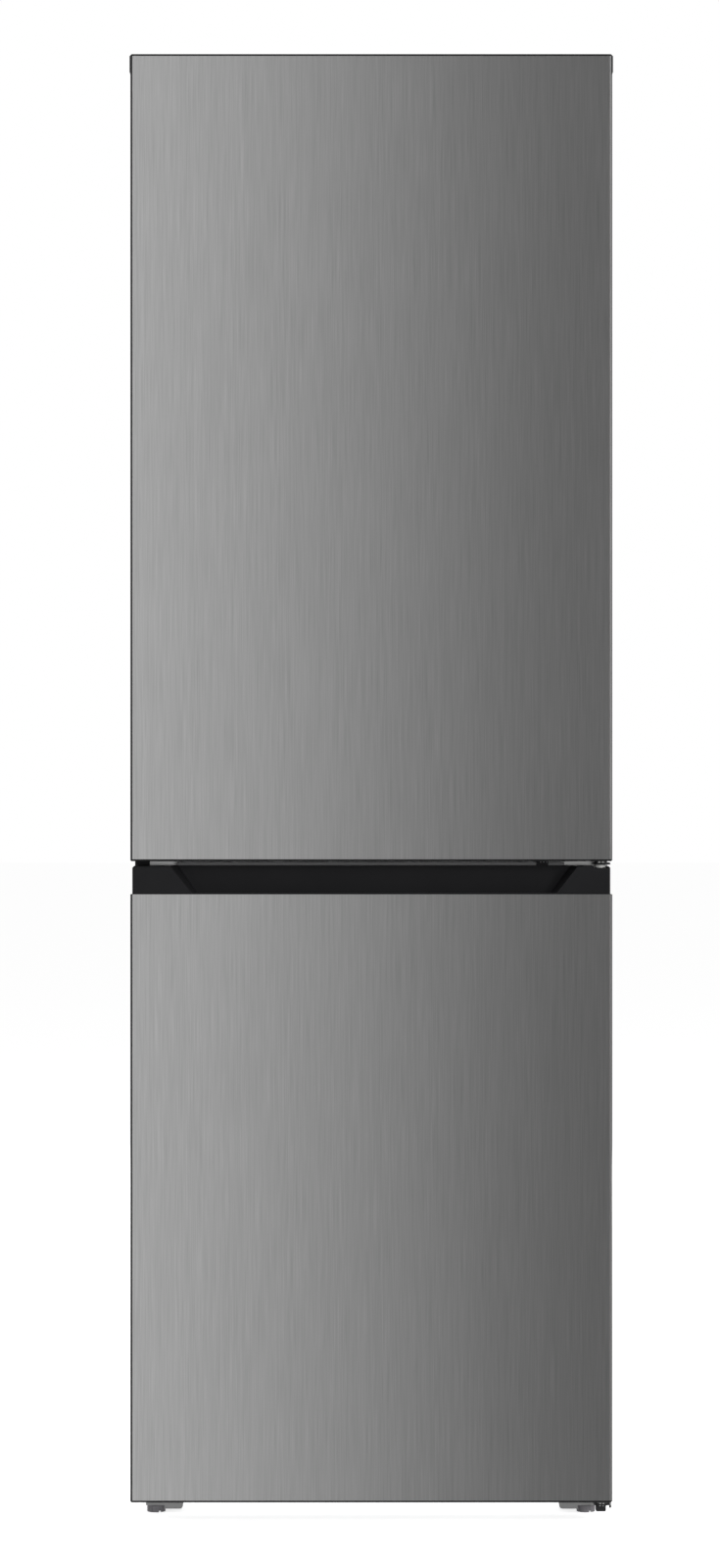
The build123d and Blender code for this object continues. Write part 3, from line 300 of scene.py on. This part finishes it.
def add_piece(name, bm, slot, node):
    """Turns a bmesh into a piece that rides with a CAD node and takes a slot's finish."""
    bmesh.ops.recalc_face_normals(bm, faces=bm.faces[:])
    mesh = bpy.data.meshes.new(name)
    bm.to_mesh(mesh)
    bm.free()
    piece = placed(name, mesh)
    mesh.materials.append(MATERIALS[slot])
    body = BODY_OF[node]
    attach(piece, body)
    return piece


def smooth(piece):
    """Smooth shading, with the sharp edges kept."""
    mesh = piece.data
    mesh.polygons.foreach_set("use_smooth", [True] * len(mesh.polygons))
    mesh.set_sharp_from_angle(angle=0.6)


def towards(place, direction):
    """Matrix that puts the local origin at a place and turns local Z to a direction."""
    turn = Vector(direction).to_track_quat("Z", "X").to_matrix().to_4x4()
    return Matrix.Translation(Vector(place)) @ turn


def lathe(bm, profile, place, sides=24):
    """Turned form: profile points are (radius, height) along the place's Z, in millimetres."""
    rings = []
    for radius, rise in profile:
        count = sides if radius > 0 else 1
        ring = []
        for number in range(count):
            angle = 2 * math.pi * number / count
            x, y = radius * MM * math.cos(angle), radius * MM * math.sin(angle)
            ring.append(bm.verts.new(place @ Vector((x, y, rise * MM))))
        rings.append(ring)
    for low, high in zip(rings, rings[1:]):
        for number in range(sides):
            other = (number + 1) % sides
            corners = [low[number % len(low)], low[other % len(low)]]
            corners += [high[other % len(high)], high[number % len(high)]]
            bm.faces.new(list(dict.fromkeys(corners)))


def bar(bm, low, high, edge, segments=2, turn=None):
    """Box between two corners, with its edges rounded; turn is a matrix applied last."""
    part = bmesh.new()
    bmesh.ops.create_cube(part, size=1.0)
    low, high = Vector(low), Vector(high)
    for vert in part.verts:
        for axis in range(3):
            vert.co[axis] = low[axis] + (vert.co[axis] + 0.5) * (high[axis] - low[axis])
    edges = part.edges[:]
    bmesh.ops.bevel(part, geom=edges, offset=edge, segments=segments, profile=0.5, affect="EDGES")
    if turn is not None:
        bmesh.ops.transform(part, matrix=turn, verts=part.verts[:])
    mesh = bpy.data.meshes.new("part")
    part.to_mesh(mesh)
    part.free()
    bm.from_mesh(mesh)
    bpy.data.meshes.remove(mesh)


def sweep_ring(bm, path, outline):
    """Closed sweep of an outline of (outward, forward) offsets round a rectangle in the XZ plane."""
    (x0, z0), (x1, z1), y = path
    rings = []
    for out, forward in outline:
        left, right, low, high = x0 - out, x1 + out, z0 - out, z1 + out
        corners = [(left, low), (right, low), (right, high), (left, high)]
        rings.append([bm.verts.new((x, y + forward, z)) for x, z in corners])
    count = len(rings)
    for number in range(count):
        first, second = rings[number], rings[(number + 1) % count]
        for side in range(4):
            other = (side + 1) % 4
            bm.faces.new([first[side], first[other], second[other], second[side]])


def letters(bm, text, size, place):
    """Raised digits, centred on the place's origin, in its XY plane."""
    curve = bpy.data.curves.new("digits", "FONT")
    curve.body = text
    curve.size = size
    curve.extrude = 0.15 * MM
    curve.align_x = "CENTER"
    curve.align_y = "CENTER"
    holder = bpy.data.objects.new("digits", curve)
    mesh = bpy.data.meshes.new_from_object(holder)
    mesh.transform(place)
    bm.from_mesh(mesh)
    bpy.data.objects.remove(holder)
    bpy.data.meshes.remove(mesh)


def pan_head(bm, place, direction, scale=1.0):
    """Round screw head with a dimple for the driver."""
    profile = [(0, 0.9), (0.9, 0.9), (1.2, 1.75), (2.4, 1.5)]
    profile += [(3.3, 0.9), (3.6, 0.2), (3.6, -0.4), (0, -0.4)]
    scaled = [(radius * scale, rise * scale) for radius, rise in profile]
    lathe(bm, scaled, towards(place, direction), 16)


def hex_head(bm, place, direction, radius, rise):
    """Hexagon head on a round flange; radius and rise are in millimetres."""
    matrix = towards(place, direction)
    flange_radius = radius * 1.35
    lathe(bm, [(0, -0.3), (flange_radius, -0.3), (flange_radius, 0.8), (0, 0.8)], matrix)
    head = [(0, 0.6), (radius, 0.6), (radius, rise - 0.5), (radius * 0.86, rise), (0, rise)]
    lathe(bm, head, matrix, 6)


# ---- Details on the cabinet's outside ----
WELD_RISE = 72 * MM  # seam of the compressor's shell above its underside
DRIER_RADIUS = 8 * MM
HINGE_INSET = 12 * MM  # hinge axis inside the right end of the hinge plates


def rear_screws():
    """Screws that hold the rear panel along its border."""
    low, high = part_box("rear_panel")
    sheet_y = high[1] - 1.5 * MM
    side_x = high[0] - 8 * MM
    rows, end_gap = 6, 40 * MM
    pitch = (high[2] - low[2] - 2 * end_gap) / (rows - 1)
    bm = bmesh.new()
    for side in (-1, 1):
        for row in range(rows):
            pan_head(bm, (side * side_x, sheet_y, low[2] + end_gap + row * pitch), BACK)
    for column in range(-2, 3):
        pan_head(bm, (column * 105 * MM, sheet_y, high[2] - 9 * MM), BACK)
    smooth(add_piece("rear_screws", bm, "screw_steel", "rear_panel"))


def compressor_foot():
    """Middle of the compressor's underside."""
    low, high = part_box("compressor")
    return Vector(((low[0] + high[0]) / 2, (low[1] + high[1]) / 2, low[2]))


def compressor_weld():
    """Bead where the two halves of the shell are welded."""
    seam_radius, bead_radius, steps = 69.8, 1.3, 8
    profile = []
    for step in range(steps + 1):
        angle = 2 * math.pi * step / steps
        out, rise = bead_radius * math.cos(angle), bead_radius * math.sin(angle)
        profile.append((seam_radius + out, rise))
    bm = bmesh.new()
    seam = compressor_foot() + Vector((0, 0, WELD_RISE))
    lathe(bm, profile, Matrix.Translation(seam), 64)
    smooth(add_piece("compressor_weld", bm, "compressor_black", "compressor"))


def compressor_bolts():
    """Bolts through the four rubber mounts."""
    foot = compressor_foot()
    bm = bmesh.new()
    for x in (-82, 82):
        for y in (-62, 62):
            hex_head(bm, foot + Vector((x, y, 3)) * MM, UP, 5.5, 5)
    smooth(add_piece("compressor_bolts", bm, "screw_steel", "compressor"))


def filling_stub():
    """Crimped copper stub on the compressor's shell."""
    outward = Vector((0.35, 0.93, 0)).normalized()
    start = compressor_foot() + outward * 68 * MM + Vector((0, 0, WELD_RISE - 26 * MM))
    stub = [(0, 0), (4.6, 0), (4.6, 5), (3.1, 7), (3.1, 17), (2.2, 19), (1.6, 22), (0, 22)]
    bm = bmesh.new()
    lathe(bm, stub, towards(start, outward), 20)
    smooth(add_piece("filling_stub", bm, "copper", "compressor"))


def drier_ends():
    """Swaged cones at both ends of the filter drier."""
    low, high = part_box("refrigerant_tubes")
    x, z = high[0] - DRIER_RADIUS, low[2] + DRIER_RADIUS
    front_y, back_y = 205.5 * MM, 285.5 * MM
    cone = [(0, -1), (8.3, -1), (8.3, 1.5), (7.2, 3.5), (3.4, 8), (3.2, 10.5), (0, 10.5)]
    bm = bmesh.new()
    lathe(bm, cone, towards((x, back_y, z), BACK))
    lathe(bm, cone, towards((x, front_y, z), FRONT))
    smooth(add_piece("drier_ends", bm, "copper", "refrigerant_tubes"))


def tube_joints():
    """Brazed sleeves where the black condenser ends meet the copper tubes."""
    low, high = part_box("condenser")
    outlet_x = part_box("refrigerant_tubes")[1][0] - DRIER_RADIUS
    inlet_x = outlet_x - 17 * MM
    middle_y = (low[1] + high[1]) / 2
    sleeve = [(0, -9), (2.4, -9), (3.3, -7), (3.3, 7), (2.4, 9), (0, 9)]
    bm = bmesh.new()
    for x in (outlet_x, inlet_x):
        lathe(bm, sleeve, towards((x, middle_y, low[2]), UP))
    smooth(add_piece("tube_joints", bm, "copper", "condenser"))


def terminal_cover():
    """Ribs and the screw on the relay cover."""
    low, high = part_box("terminal_box")
    middle_y = (low[1] + high[1]) / 2
    ribs = bmesh.new()
    for offset in (-16, 0, 16):
        y = middle_y + offset * MM
        near = (low[0] - 1 * MM, y - 3 * MM, low[2] + 8 * MM)
        far = (low[0] + 0.5 * MM, y + 3 * MM, high[2] - 22 * MM)
        bar(ribs, near, far, 0.4 * MM)
    add_piece("terminal_ribs", ribs, "box_black", "terminal_box")
    screw = bmesh.new()
    pan_head(screw, (low[0], middle_y, high[2] - 12 * MM), LEFT)
    smooth(add_piece("terminal_screw", screw, "screw_steel", "terminal_box"))


def hinge_rivets():
    """Rivet heads on the front of the lower hinge."""
    low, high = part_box("bottom_hinge")
    axis_x = high[0] - HINGE_INSET
    bm = bmesh.new()
    for offset in (-0.9, 2.9):
        for setback, z in ((0, 23.6), (2.8, 20.6)):
            place = (axis_x + offset * MM, low[1] + setback * MM, z * MM)
            pan_head(bm, place, FRONT, 0.36)
    smooth(add_piece("hinge_rivets", bm, "screw_steel", "bottom_hinge"))


def hinge_tab():
    """Bent tab with a rubber tip beside the lower hinge."""
    low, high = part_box("bottom_hinge")
    y = low[1] + 2.4 * MM
    shank = [(0, 7.0), (0.9, 7.0), (1.1, 6.4), (1.1, 0.5), (0.9, 0), (0, 0)]
    tab = bmesh.new()
    lathe(tab, shank, Matrix.Translation((high[0] - 0.4 * MM, y, 17.6 * MM)), 16)
    smooth(add_piece("hinge_tab", tab, "bracket_steel", "bottom_hinge"))
    pad = [(0, 3.6), (1.2, 3.6), (1.45, 3.0), (1.35, 1.0), (0.7, 0), (0, 0)]
    tip = bmesh.new()
    lathe(tip, pad, Matrix.Translation((high[0] - 0.6 * MM, y, 17.4 * MM)), 16)
    smooth(add_piece("hinge_tab_tip", tip, "mount_rubber", "bottom_hinge"))


def cover_cap():
    """Round cap over the screw of the top hinge cover."""
    low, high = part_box("top_hinge_cover")
    place = ((low[0] + high[0]) / 2, (low[1] + high[1]) / 2 + 8 * MM, high[2])
    cap = [(0, 0.1), (3.6, 0.1), (4.2, -0.1), (4.6, -0.5), (4.6, -1.2), (0, -1.2)]
    bm = bmesh.new()
    lathe(bm, cap, Matrix.Translation(place))
    smooth(add_piece("cover_cap", bm, "box_black", "top_hinge_cover"))


def hinge_collar():
    """Dark collar round the upper washer of the middle hinge, with two pale pips in front that are
    painted highlights of the plated hinge nose.
    """
    low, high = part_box("middle_hinge")
    axis_x, axis_y = high[0] - HINGE_INSET, low[1] + 9 * MM
    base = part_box("fridge_door_bottom_cap")[0][2] - 3.6 * MM
    ring = [(7.0, 0), (7.9, 0), (7.9, 2.4), (7.4, 3.0), (7.0, 3.0), (7.0, 0)]
    collar = bmesh.new()
    lathe(collar, ring, Matrix.Translation((axis_x, axis_y, base)), 32)
    smooth(add_piece("hinge_collar", collar, "box_black", "middle_hinge"))
    # Painted highlights: pale plastic pips put where the plated nose shows glints.
    pip = [(0, 0.8), (1.3, 0.6), (1.75, 0), (1.75, -1.2), (0, -1.2)]
    pips = bmesh.new()
    for offset in (-1.9, 2.4):
        place = (axis_x + offset * MM, axis_y - 7.6 * MM, base + 1.5 * MM)
        lathe(pips, pip, towards(place, FRONT), 16)
    smooth(add_piece("hinge_painted_highlights", pips, "washer_white", "middle_hinge"))


def stop_pins():
    """Small bright pins at the head of the block on the lower door's rear lip."""
    block_y = -286.5 * MM
    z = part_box("freezer_door_handle_cap")[1][2] - 0.75 * MM
    bm = bmesh.new()
    for x in (208.8, 212.6, 216.2):
        pan_head(bm, (x * MM, block_y, z), FRONT, 0.17)
    smooth(add_piece("stop_pins", bm, "screw_steel", "freezer_door_handle_cap"))


# ---- Details inside the compartments ----
COLD_WALL_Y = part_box("fridge_liner")[1][1] - 2 * MM
DRAIN_Z = 1053 * MM
HOUSING_FACE_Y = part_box("control_housing")[0][1]


def cold_wall_ribs():
    """Moulded ribs on the fridge's cold wall."""
    bottom, top = 1085 * MM, 1690 * MM
    bm = bmesh.new()
    for step in range(-5, 6):
        x = step * 36 * MM
        near = (x - 4 * MM, COLD_WALL_Y - 2.2 * MM, bottom)
        far = (x + 4 * MM, COLD_WALL_Y + 0.5 * MM, top)
        bar(bm, near, far, 1.3 * MM, 3)
    smooth(add_piece("cold_wall_ribs", bm, "liner_white", "fridge_liner"))


def drain_gutter():
    """Two sloping ledges that lead the melt water to the drain."""
    bm = bmesh.new()
    for side in (-1, 1):
        lean = Matrix.Rotation(-side * math.radians(4), 4, "Y")
        turn = Matrix.Translation((0, 0, DRAIN_Z)) @ lean
        start, end = sorted((side * 11 * MM, side * 205 * MM))
        near = (start, COLD_WALL_Y - 7 * MM, -2 * MM)
        far = (end, COLD_WALL_Y + 0.5 * MM, 2.2 * MM)
        bar(bm, near, far, 1 * MM, 3, turn)
    smooth(add_piece("drain_gutter", bm, "liner_white", "fridge_liner"))


def drain_mouth():
    """Ring round the drain hole, and the pin that keeps it clear."""
    place = towards((0, COLD_WALL_Y, DRAIN_Z), FRONT)
    rim = [(5.0, -1), (5.0, 1.6), (6.0, 2.6), (9.4, 2.6), (10.4, 1.6), (10.4, -1), (5.0, -1)]
    ring = bmesh.new()
    lathe(ring, rim, place, 32)
    smooth(add_piece("drain_ring", ring, "liner_white", "fridge_liner"))
    stem = [(0, -0.5), (4.9, -0.5), (4.9, 0.3), (1.6, 0.3)]
    stem += [(1.6, 7.0), (2.6, 7.4), (2.6, 8.6), (0, 8.8)]
    pin = bmesh.new()
    lathe(pin, stem, place, 20)
    smooth(add_piece("drain_pin", pin, "trim_grey", "fridge_liner"))


def lamp_board():
    """Strip with eight lamp chips above the clear cover."""
    low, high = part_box("lamp_lens")
    face_z = high[2] - 2.2 * MM
    near = (low[0] + 6 * MM, low[1] + 8 * MM, face_z)
    far = (high[0] - 6 * MM, high[1] - 8 * MM, high[2] - 0.6 * MM)
    board = bmesh.new()
    bar(board, near, far, 0.3 * MM)
    add_piece("lamp_board", board, "tray_white", "lamp_lens")
    chip = [(0, 1.4), (1.6, 1.1), (2.3, 0.2), (2.6, 0.0), (2.6, -0.3), (0, -0.3)]
    chips = bmesh.new()
    for column in range(4):
        for row in range(2):
            x = low[0] + (22 + 28 * column) * MM
            y = low[1] + (30 + 42 * row) * MM
            lathe(chips, chip, towards((x, y, face_z), DOWN), 16)
    smooth(add_piece("lamp_chips", chips, "lens_clear", "lamp_lens"))


def knob_centre():
    """Centre of the thermostat knob on the housing's front, as x and z."""
    low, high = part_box("thermostat_knob")
    return (low[0] + high[0]) / 2, (low[2] + high[2]) / 2


def thermostat_scale():
    """Ticks over the upper half of the knob, which grow from 1 to 7."""
    x, z = knob_centre()
    centre = Matrix.Translation((x, HOUSING_FACE_Y, z))
    bm = bmesh.new()
    for step in range(7):
        turn = centre @ Matrix.Rotation(-math.radians(30 * step), 4, "Y")
        half = (0.35 + 0.08 * step) * MM
        near, far = (16.4 * MM, -0.25 * MM, -half), (18.8 * MM, 0.1 * MM, half)
        bar(bm, near, far, 0.1 * MM, 1, turn)
    for text, offset in (("7", 23.5), ("1", -23.5)):
        face = Matrix.Translation((x + offset * MM, HOUSING_FACE_Y - 0.1 * MM, z))
        letters(bm, text, 6 * MM, face @ Matrix.Rotation(math.pi / 2, 4, "X"))
    add_piece("thermostat_scale", bm, "box_black", "control_housing")


def knob_pointer():
    """Dark line on the knob's grip."""
    low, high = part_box("thermostat_knob")
    x, z = knob_centre()
    near = (x - 0.7 * MM, low[1] - 0.2 * MM, z + 5 * MM)
    far = (x + 0.7 * MM, low[1] + 0.3 * MM, high[2] - 1.2 * MM)
    bm = bmesh.new()
    bar(bm, near, far, 0.15 * MM)
    add_piece("knob_pointer", bm, "box_black", "thermostat_knob")


def door_switch():
    """Push button for the lamp, level with the knob."""
    collar = [(0, -1), (8, -1), (8, 1.2), (7.2, 2.0), (4.9, 2.0), (4.9, 1.0)]
    button = [(4.2, 1.0), (4.2, 8.0), (3.4, 9.0), (0, 9.2)]
    switch_x = -82 * MM
    bm = bmesh.new()
    lathe(bm, collar + button, towards((switch_x, HOUSING_FACE_Y, knob_centre()[1]), FRONT), 28)
    smooth(add_piece("door_switch", bm, "trim_grey", "control_housing"))


def drawer_ribs(node, spacing, top_gap):
    """Upright ribs moulded on a drawer's front, below its finger slot."""
    low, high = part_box(node)
    half = high[0] - 26 * MM
    count = int(half / spacing)
    bm = bmesh.new()
    for step in range(-count, count + 1):
        x = step * spacing
        near = (x - 1.3 * MM, low[1] - 0.9 * MM, low[2] + 12 * MM)
        far = (x + 1.3 * MM, low[1] + 0.4 * MM, high[2] - top_gap)
        bar(bm, near, far, 0.5 * MM)
    smooth(add_piece(node + "_ribs", bm, "clear_plastic", node))


def gasket_bellows(node):
    """Folds of the door seal: two rolls round the frame that presses on the cabinet."""
    low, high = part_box(node)
    path = ((low[0], low[2]), (high[0], high[2]), high[1] - 1.9 * MM)
    radius, steps = 1.7 * MM, 5
    for name, inset in (("outer", 2.2 * MM), ("inner", 10.4 * MM)):
        outline = []
        for step in range(steps + 1):
            angle = math.pi * step / steps
            outline.append((radius * math.cos(angle) - inset, radius * math.sin(angle)))
        bm = bmesh.new()
        sweep_ring(bm, path, outline)
        smooth(add_piece(f"{node}_{name}_fold", bm, "gasket_grey", node))


def bin_lugs():
    """Snap lugs at both ends of every door bin."""
    bm = bmesh.new()
    for node in ("door_bin_lower", "door_bin_middle", "door_bin_upper"):
        low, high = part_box(node)
        for side in (-1, 1):
            end_x = side * high[0]
            start, end = sorted((end_x + side * 0.4 * MM, end_x - side * 1 * MM))
            near = (start, low[1] + 26 * MM, high[2] - 36 * MM)
            far = (end, low[1] + 38 * MM, high[2] - 12 * MM)
            bar(bm, near, far, 0.4 * MM)
    add_piece("bin_lugs", bm, "clear_plastic", "door_bin_lower")


def bottle_divider():
    """Divider in the lowest bin, hooked on its rear edge."""
    low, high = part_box("door_bin_lower")
    x = 60 * MM
    bm = bmesh.new()
    near = (x - 1.2 * MM, low[1] + 7 * MM, low[2] + 10 * MM)
    far = (x + 1.2 * MM, high[1] - 16 * MM, low[2] + 60 * MM)
    bar(bm, near, far, 0.8 * MM, 3)
    near = (x - 16 * MM, high[1] - 9 * MM, low[2] + 56 * MM)
    far = (x + 16 * MM, high[1], low[2] + 65 * MM)
    bar(bm, near, far, 0.8 * MM, 3)
    smooth(add_piece("bottle_divider", bm, "trim_grey", "door_bin_lower"))


rear_screws()
compressor_weld()
compressor_bolts()
filling_stub()
drier_ends()
tube_joints()
terminal_cover()
hinge_rivets()
hinge_tab()
cover_cap()
hinge_collar()
stop_pins()
cold_wall_ribs()
drain_gutter()
drain_mouth()
lamp_board()
thermostat_scale()
knob_pointer()
door_switch()
for drawer in ("freezer_drawer_bottom", "freezer_drawer_middle", "freezer_drawer_top"):
    drawer_ribs(drawer, 22 * MM, 58 * MM)
drawer_ribs("crisper_drawer", 36 * MM, 64 * MM)
gasket_bellows("fridge_door_gasket")
gasket_bellows("freezer_door_gasket")
bin_lugs()
bottle_divider()


# ---- Studio ----
def seen_rays(tree):
    """1 for rays from the camera, a mirror or a pane, and 0 for those that light the object."""
    path = tree.nodes.new("ShaderNodeLightPath")
    direct = combine(tree, "MAXIMUM", path.outputs["Is Camera Ray"], path.outputs["Is Glossy Ray"])
    return combine(tree, "MAXIMUM", direct, path.outputs["Is Transmission Ray"])


def studio_world():
    """Plain ambient light on the object, behind it white for the seen rays."""
    world = bpy.data.worlds.new("studio")
    bpy.context.scene.world = world
    world.use_nodes = True
    tree = world.node_tree
    tree.nodes.clear()
    ambient = tree.nodes.new("ShaderNodeBackground")
    ambient.inputs["Strength"].default_value = 0.38
    white = tree.nodes.new("ShaderNodeBackground")
    white.inputs["Color"].default_value = (1, 1, 1, 1)
    white.inputs["Strength"].default_value = 1.0
    mix = tree.nodes.new("ShaderNodeMixShader")
    out = tree.nodes.new("ShaderNodeOutputWorld")
    tree.links.new(seen_rays(tree), mix.inputs["Fac"])
    tree.links.new(ambient.outputs[0], mix.inputs[1])
    tree.links.new(white.outputs[0], mix.inputs[2])
    tree.links.new(mix.outputs[0], out.inputs["Surface"])


def quad(name, corners):
    """Flat piece with four corners."""
    mesh = bpy.data.meshes.new(name)
    mesh.from_pydata(corners, [], [(0, 1, 2, 3)])
    return placed(name, mesh)


def floor():
    """White floor: a matt sheet that keeps the shadow, with a glow for the seen rays."""
    reach = 40.0
    corners = [(-reach, -reach, 0), (reach, -reach, 0), (reach, reach, 0), (-reach, reach, 0)]
    piece = quad("floor", corners)
    material, tree, shader = new_material("floor", (0.86, 0.86, 0.86), 0.9, specular=0.0)
    glow = tree.nodes.new("ShaderNodeEmission")
    glow.inputs["Color"].default_value = (1, 1, 1, 1)
    strength = ramp(tree, seen_rays(tree), 0.0, 1.0, 0.0, 0.72)
    tree.links.new(strength, glow.inputs["Strength"])
    both = tree.nodes.new("ShaderNodeAddShader")
    tree.links.new(shader.outputs[0], both.inputs[0])
    tree.links.new(glow.outputs[0], both.inputs[1])
    tree.links.new(both.outputs[0], tree.nodes["Material Output"].inputs["Surface"])
    piece.data.materials.append(material)
    piece.visible_glossy = False


def card(name, plan, z, shade, fade=None):
    """Upright card that only reflections show; fade is two places on X, each with its strength."""
    (x0, y0), (x1, y1) = plan
    piece = quad(name, [(x0, y0, z[0]), (x1, y1, z[0]), (x1, y1, z[1]), (x0, y0, z[1])])
    material = bpy.data.materials.new(name)
    material.use_nodes = True
    tree = material.node_tree
    tree.nodes.clear()
    glow = tree.nodes.new("ShaderNodeEmission")
    glow.inputs["Color"].default_value = (1, 1, 1, 1)
    glow.inputs["Strength"].default_value = shade
    if fade:
        (start, start_shade), (end, end_shade) = fade
        strength = ramp_along(tree, "X", start, end, start_shade, end_shade)
        tree.links.new(strength, glow.inputs["Strength"])
    out = tree.nodes.new("ShaderNodeOutputMaterial")
    tree.links.new(glow.outputs[0], out.inputs["Surface"])
    piece.data.materials.append(material)
    piece.visible_camera = False
    piece.visible_diffuse = False
    piece.visible_transmission = False
    piece.visible_volume_scatter = False
    piece.visible_shadow = False


def aim(piece, place, target):
    """Puts a lamp at a place and turns it to a target."""
    piece.location = place
    piece.rotation_mode = "QUATERNION"
    direction = Vector(target) - Vector(place)
    piece.rotation_quaternion = direction.to_track_quat("-Z", "Y")


def softbox(name, place, target, size, power):
    """Area lamp that no reflection shows."""
    lamp = bpy.data.lights.new(name, "AREA")
    lamp.shape = "RECTANGLE"
    lamp.size, lamp.size_y = size
    lamp.energy = power
    piece = placed(name, lamp)
    aim(piece, place, target)
    piece.visible_camera = False
    piece.visible_glossy = False


studio_world()
floor()
card("graded_card", ((-0.62, -1.3), (0.62, -1.3)), (-0.6, 2.6), 1.0, ((-0.62, 1.32), (0.38, 0.02)))
card("left_card", ((-0.78, -1.2), (-1.0, -0.2)), (-0.6, 2.6), 0.03)
card("right_card_low", ((0.62, -1.3), (1.0, -0.2)), (-0.6, 0.8), 1.0, ((0.64, 1.0), (0.92, 0.03)))
card("right_card_high", ((1.0, -0.65), (1.0, -0.2)), (0.8, 2.6), 0.03)
softbox("key", (0.5, -5.0, 0.80), (0, -0.3, 0.84), (1.0, 0.4), 80)
softbox("key_right", (3.3, -3.7, 2.1), (0, -0.3, 0.86), (1.0, 1.0), 120)
softbox("top", (-0.2, -1.3, 3.8), (0, -0.1, 1.4), (1.6, 1.2), 22)
softbox("left", (-3.6, -0.8, 1.5), (0, 0, 0.9), (1.2, 1.8), 42)
softbox("right", (3.6, -0.6, 1.5), (0, 0, 0.9), (1.2, 1.8), 42)
softbox("back", (0.4, 4.4, 1.6), (0, 0.3, 0.9), (1.6, 1.8), 80)


# ---- Camera ----
door_front_y, viewing_distance = -0.3175, 4.8
camera = bpy.data.cameras.new("camera")
camera.lens = 90.1
camera.sensor_width = 36.0
camera_piece = placed("camera", camera)
camera_piece.location = (-0.0138, door_front_y - viewing_distance, 0.907)
camera_piece.rotation_euler = (math.pi / 2, 0, 0)
bpy.context.scene.camera = camera_piece
bpy.context.scene.view_settings.view_transform = "Standard"
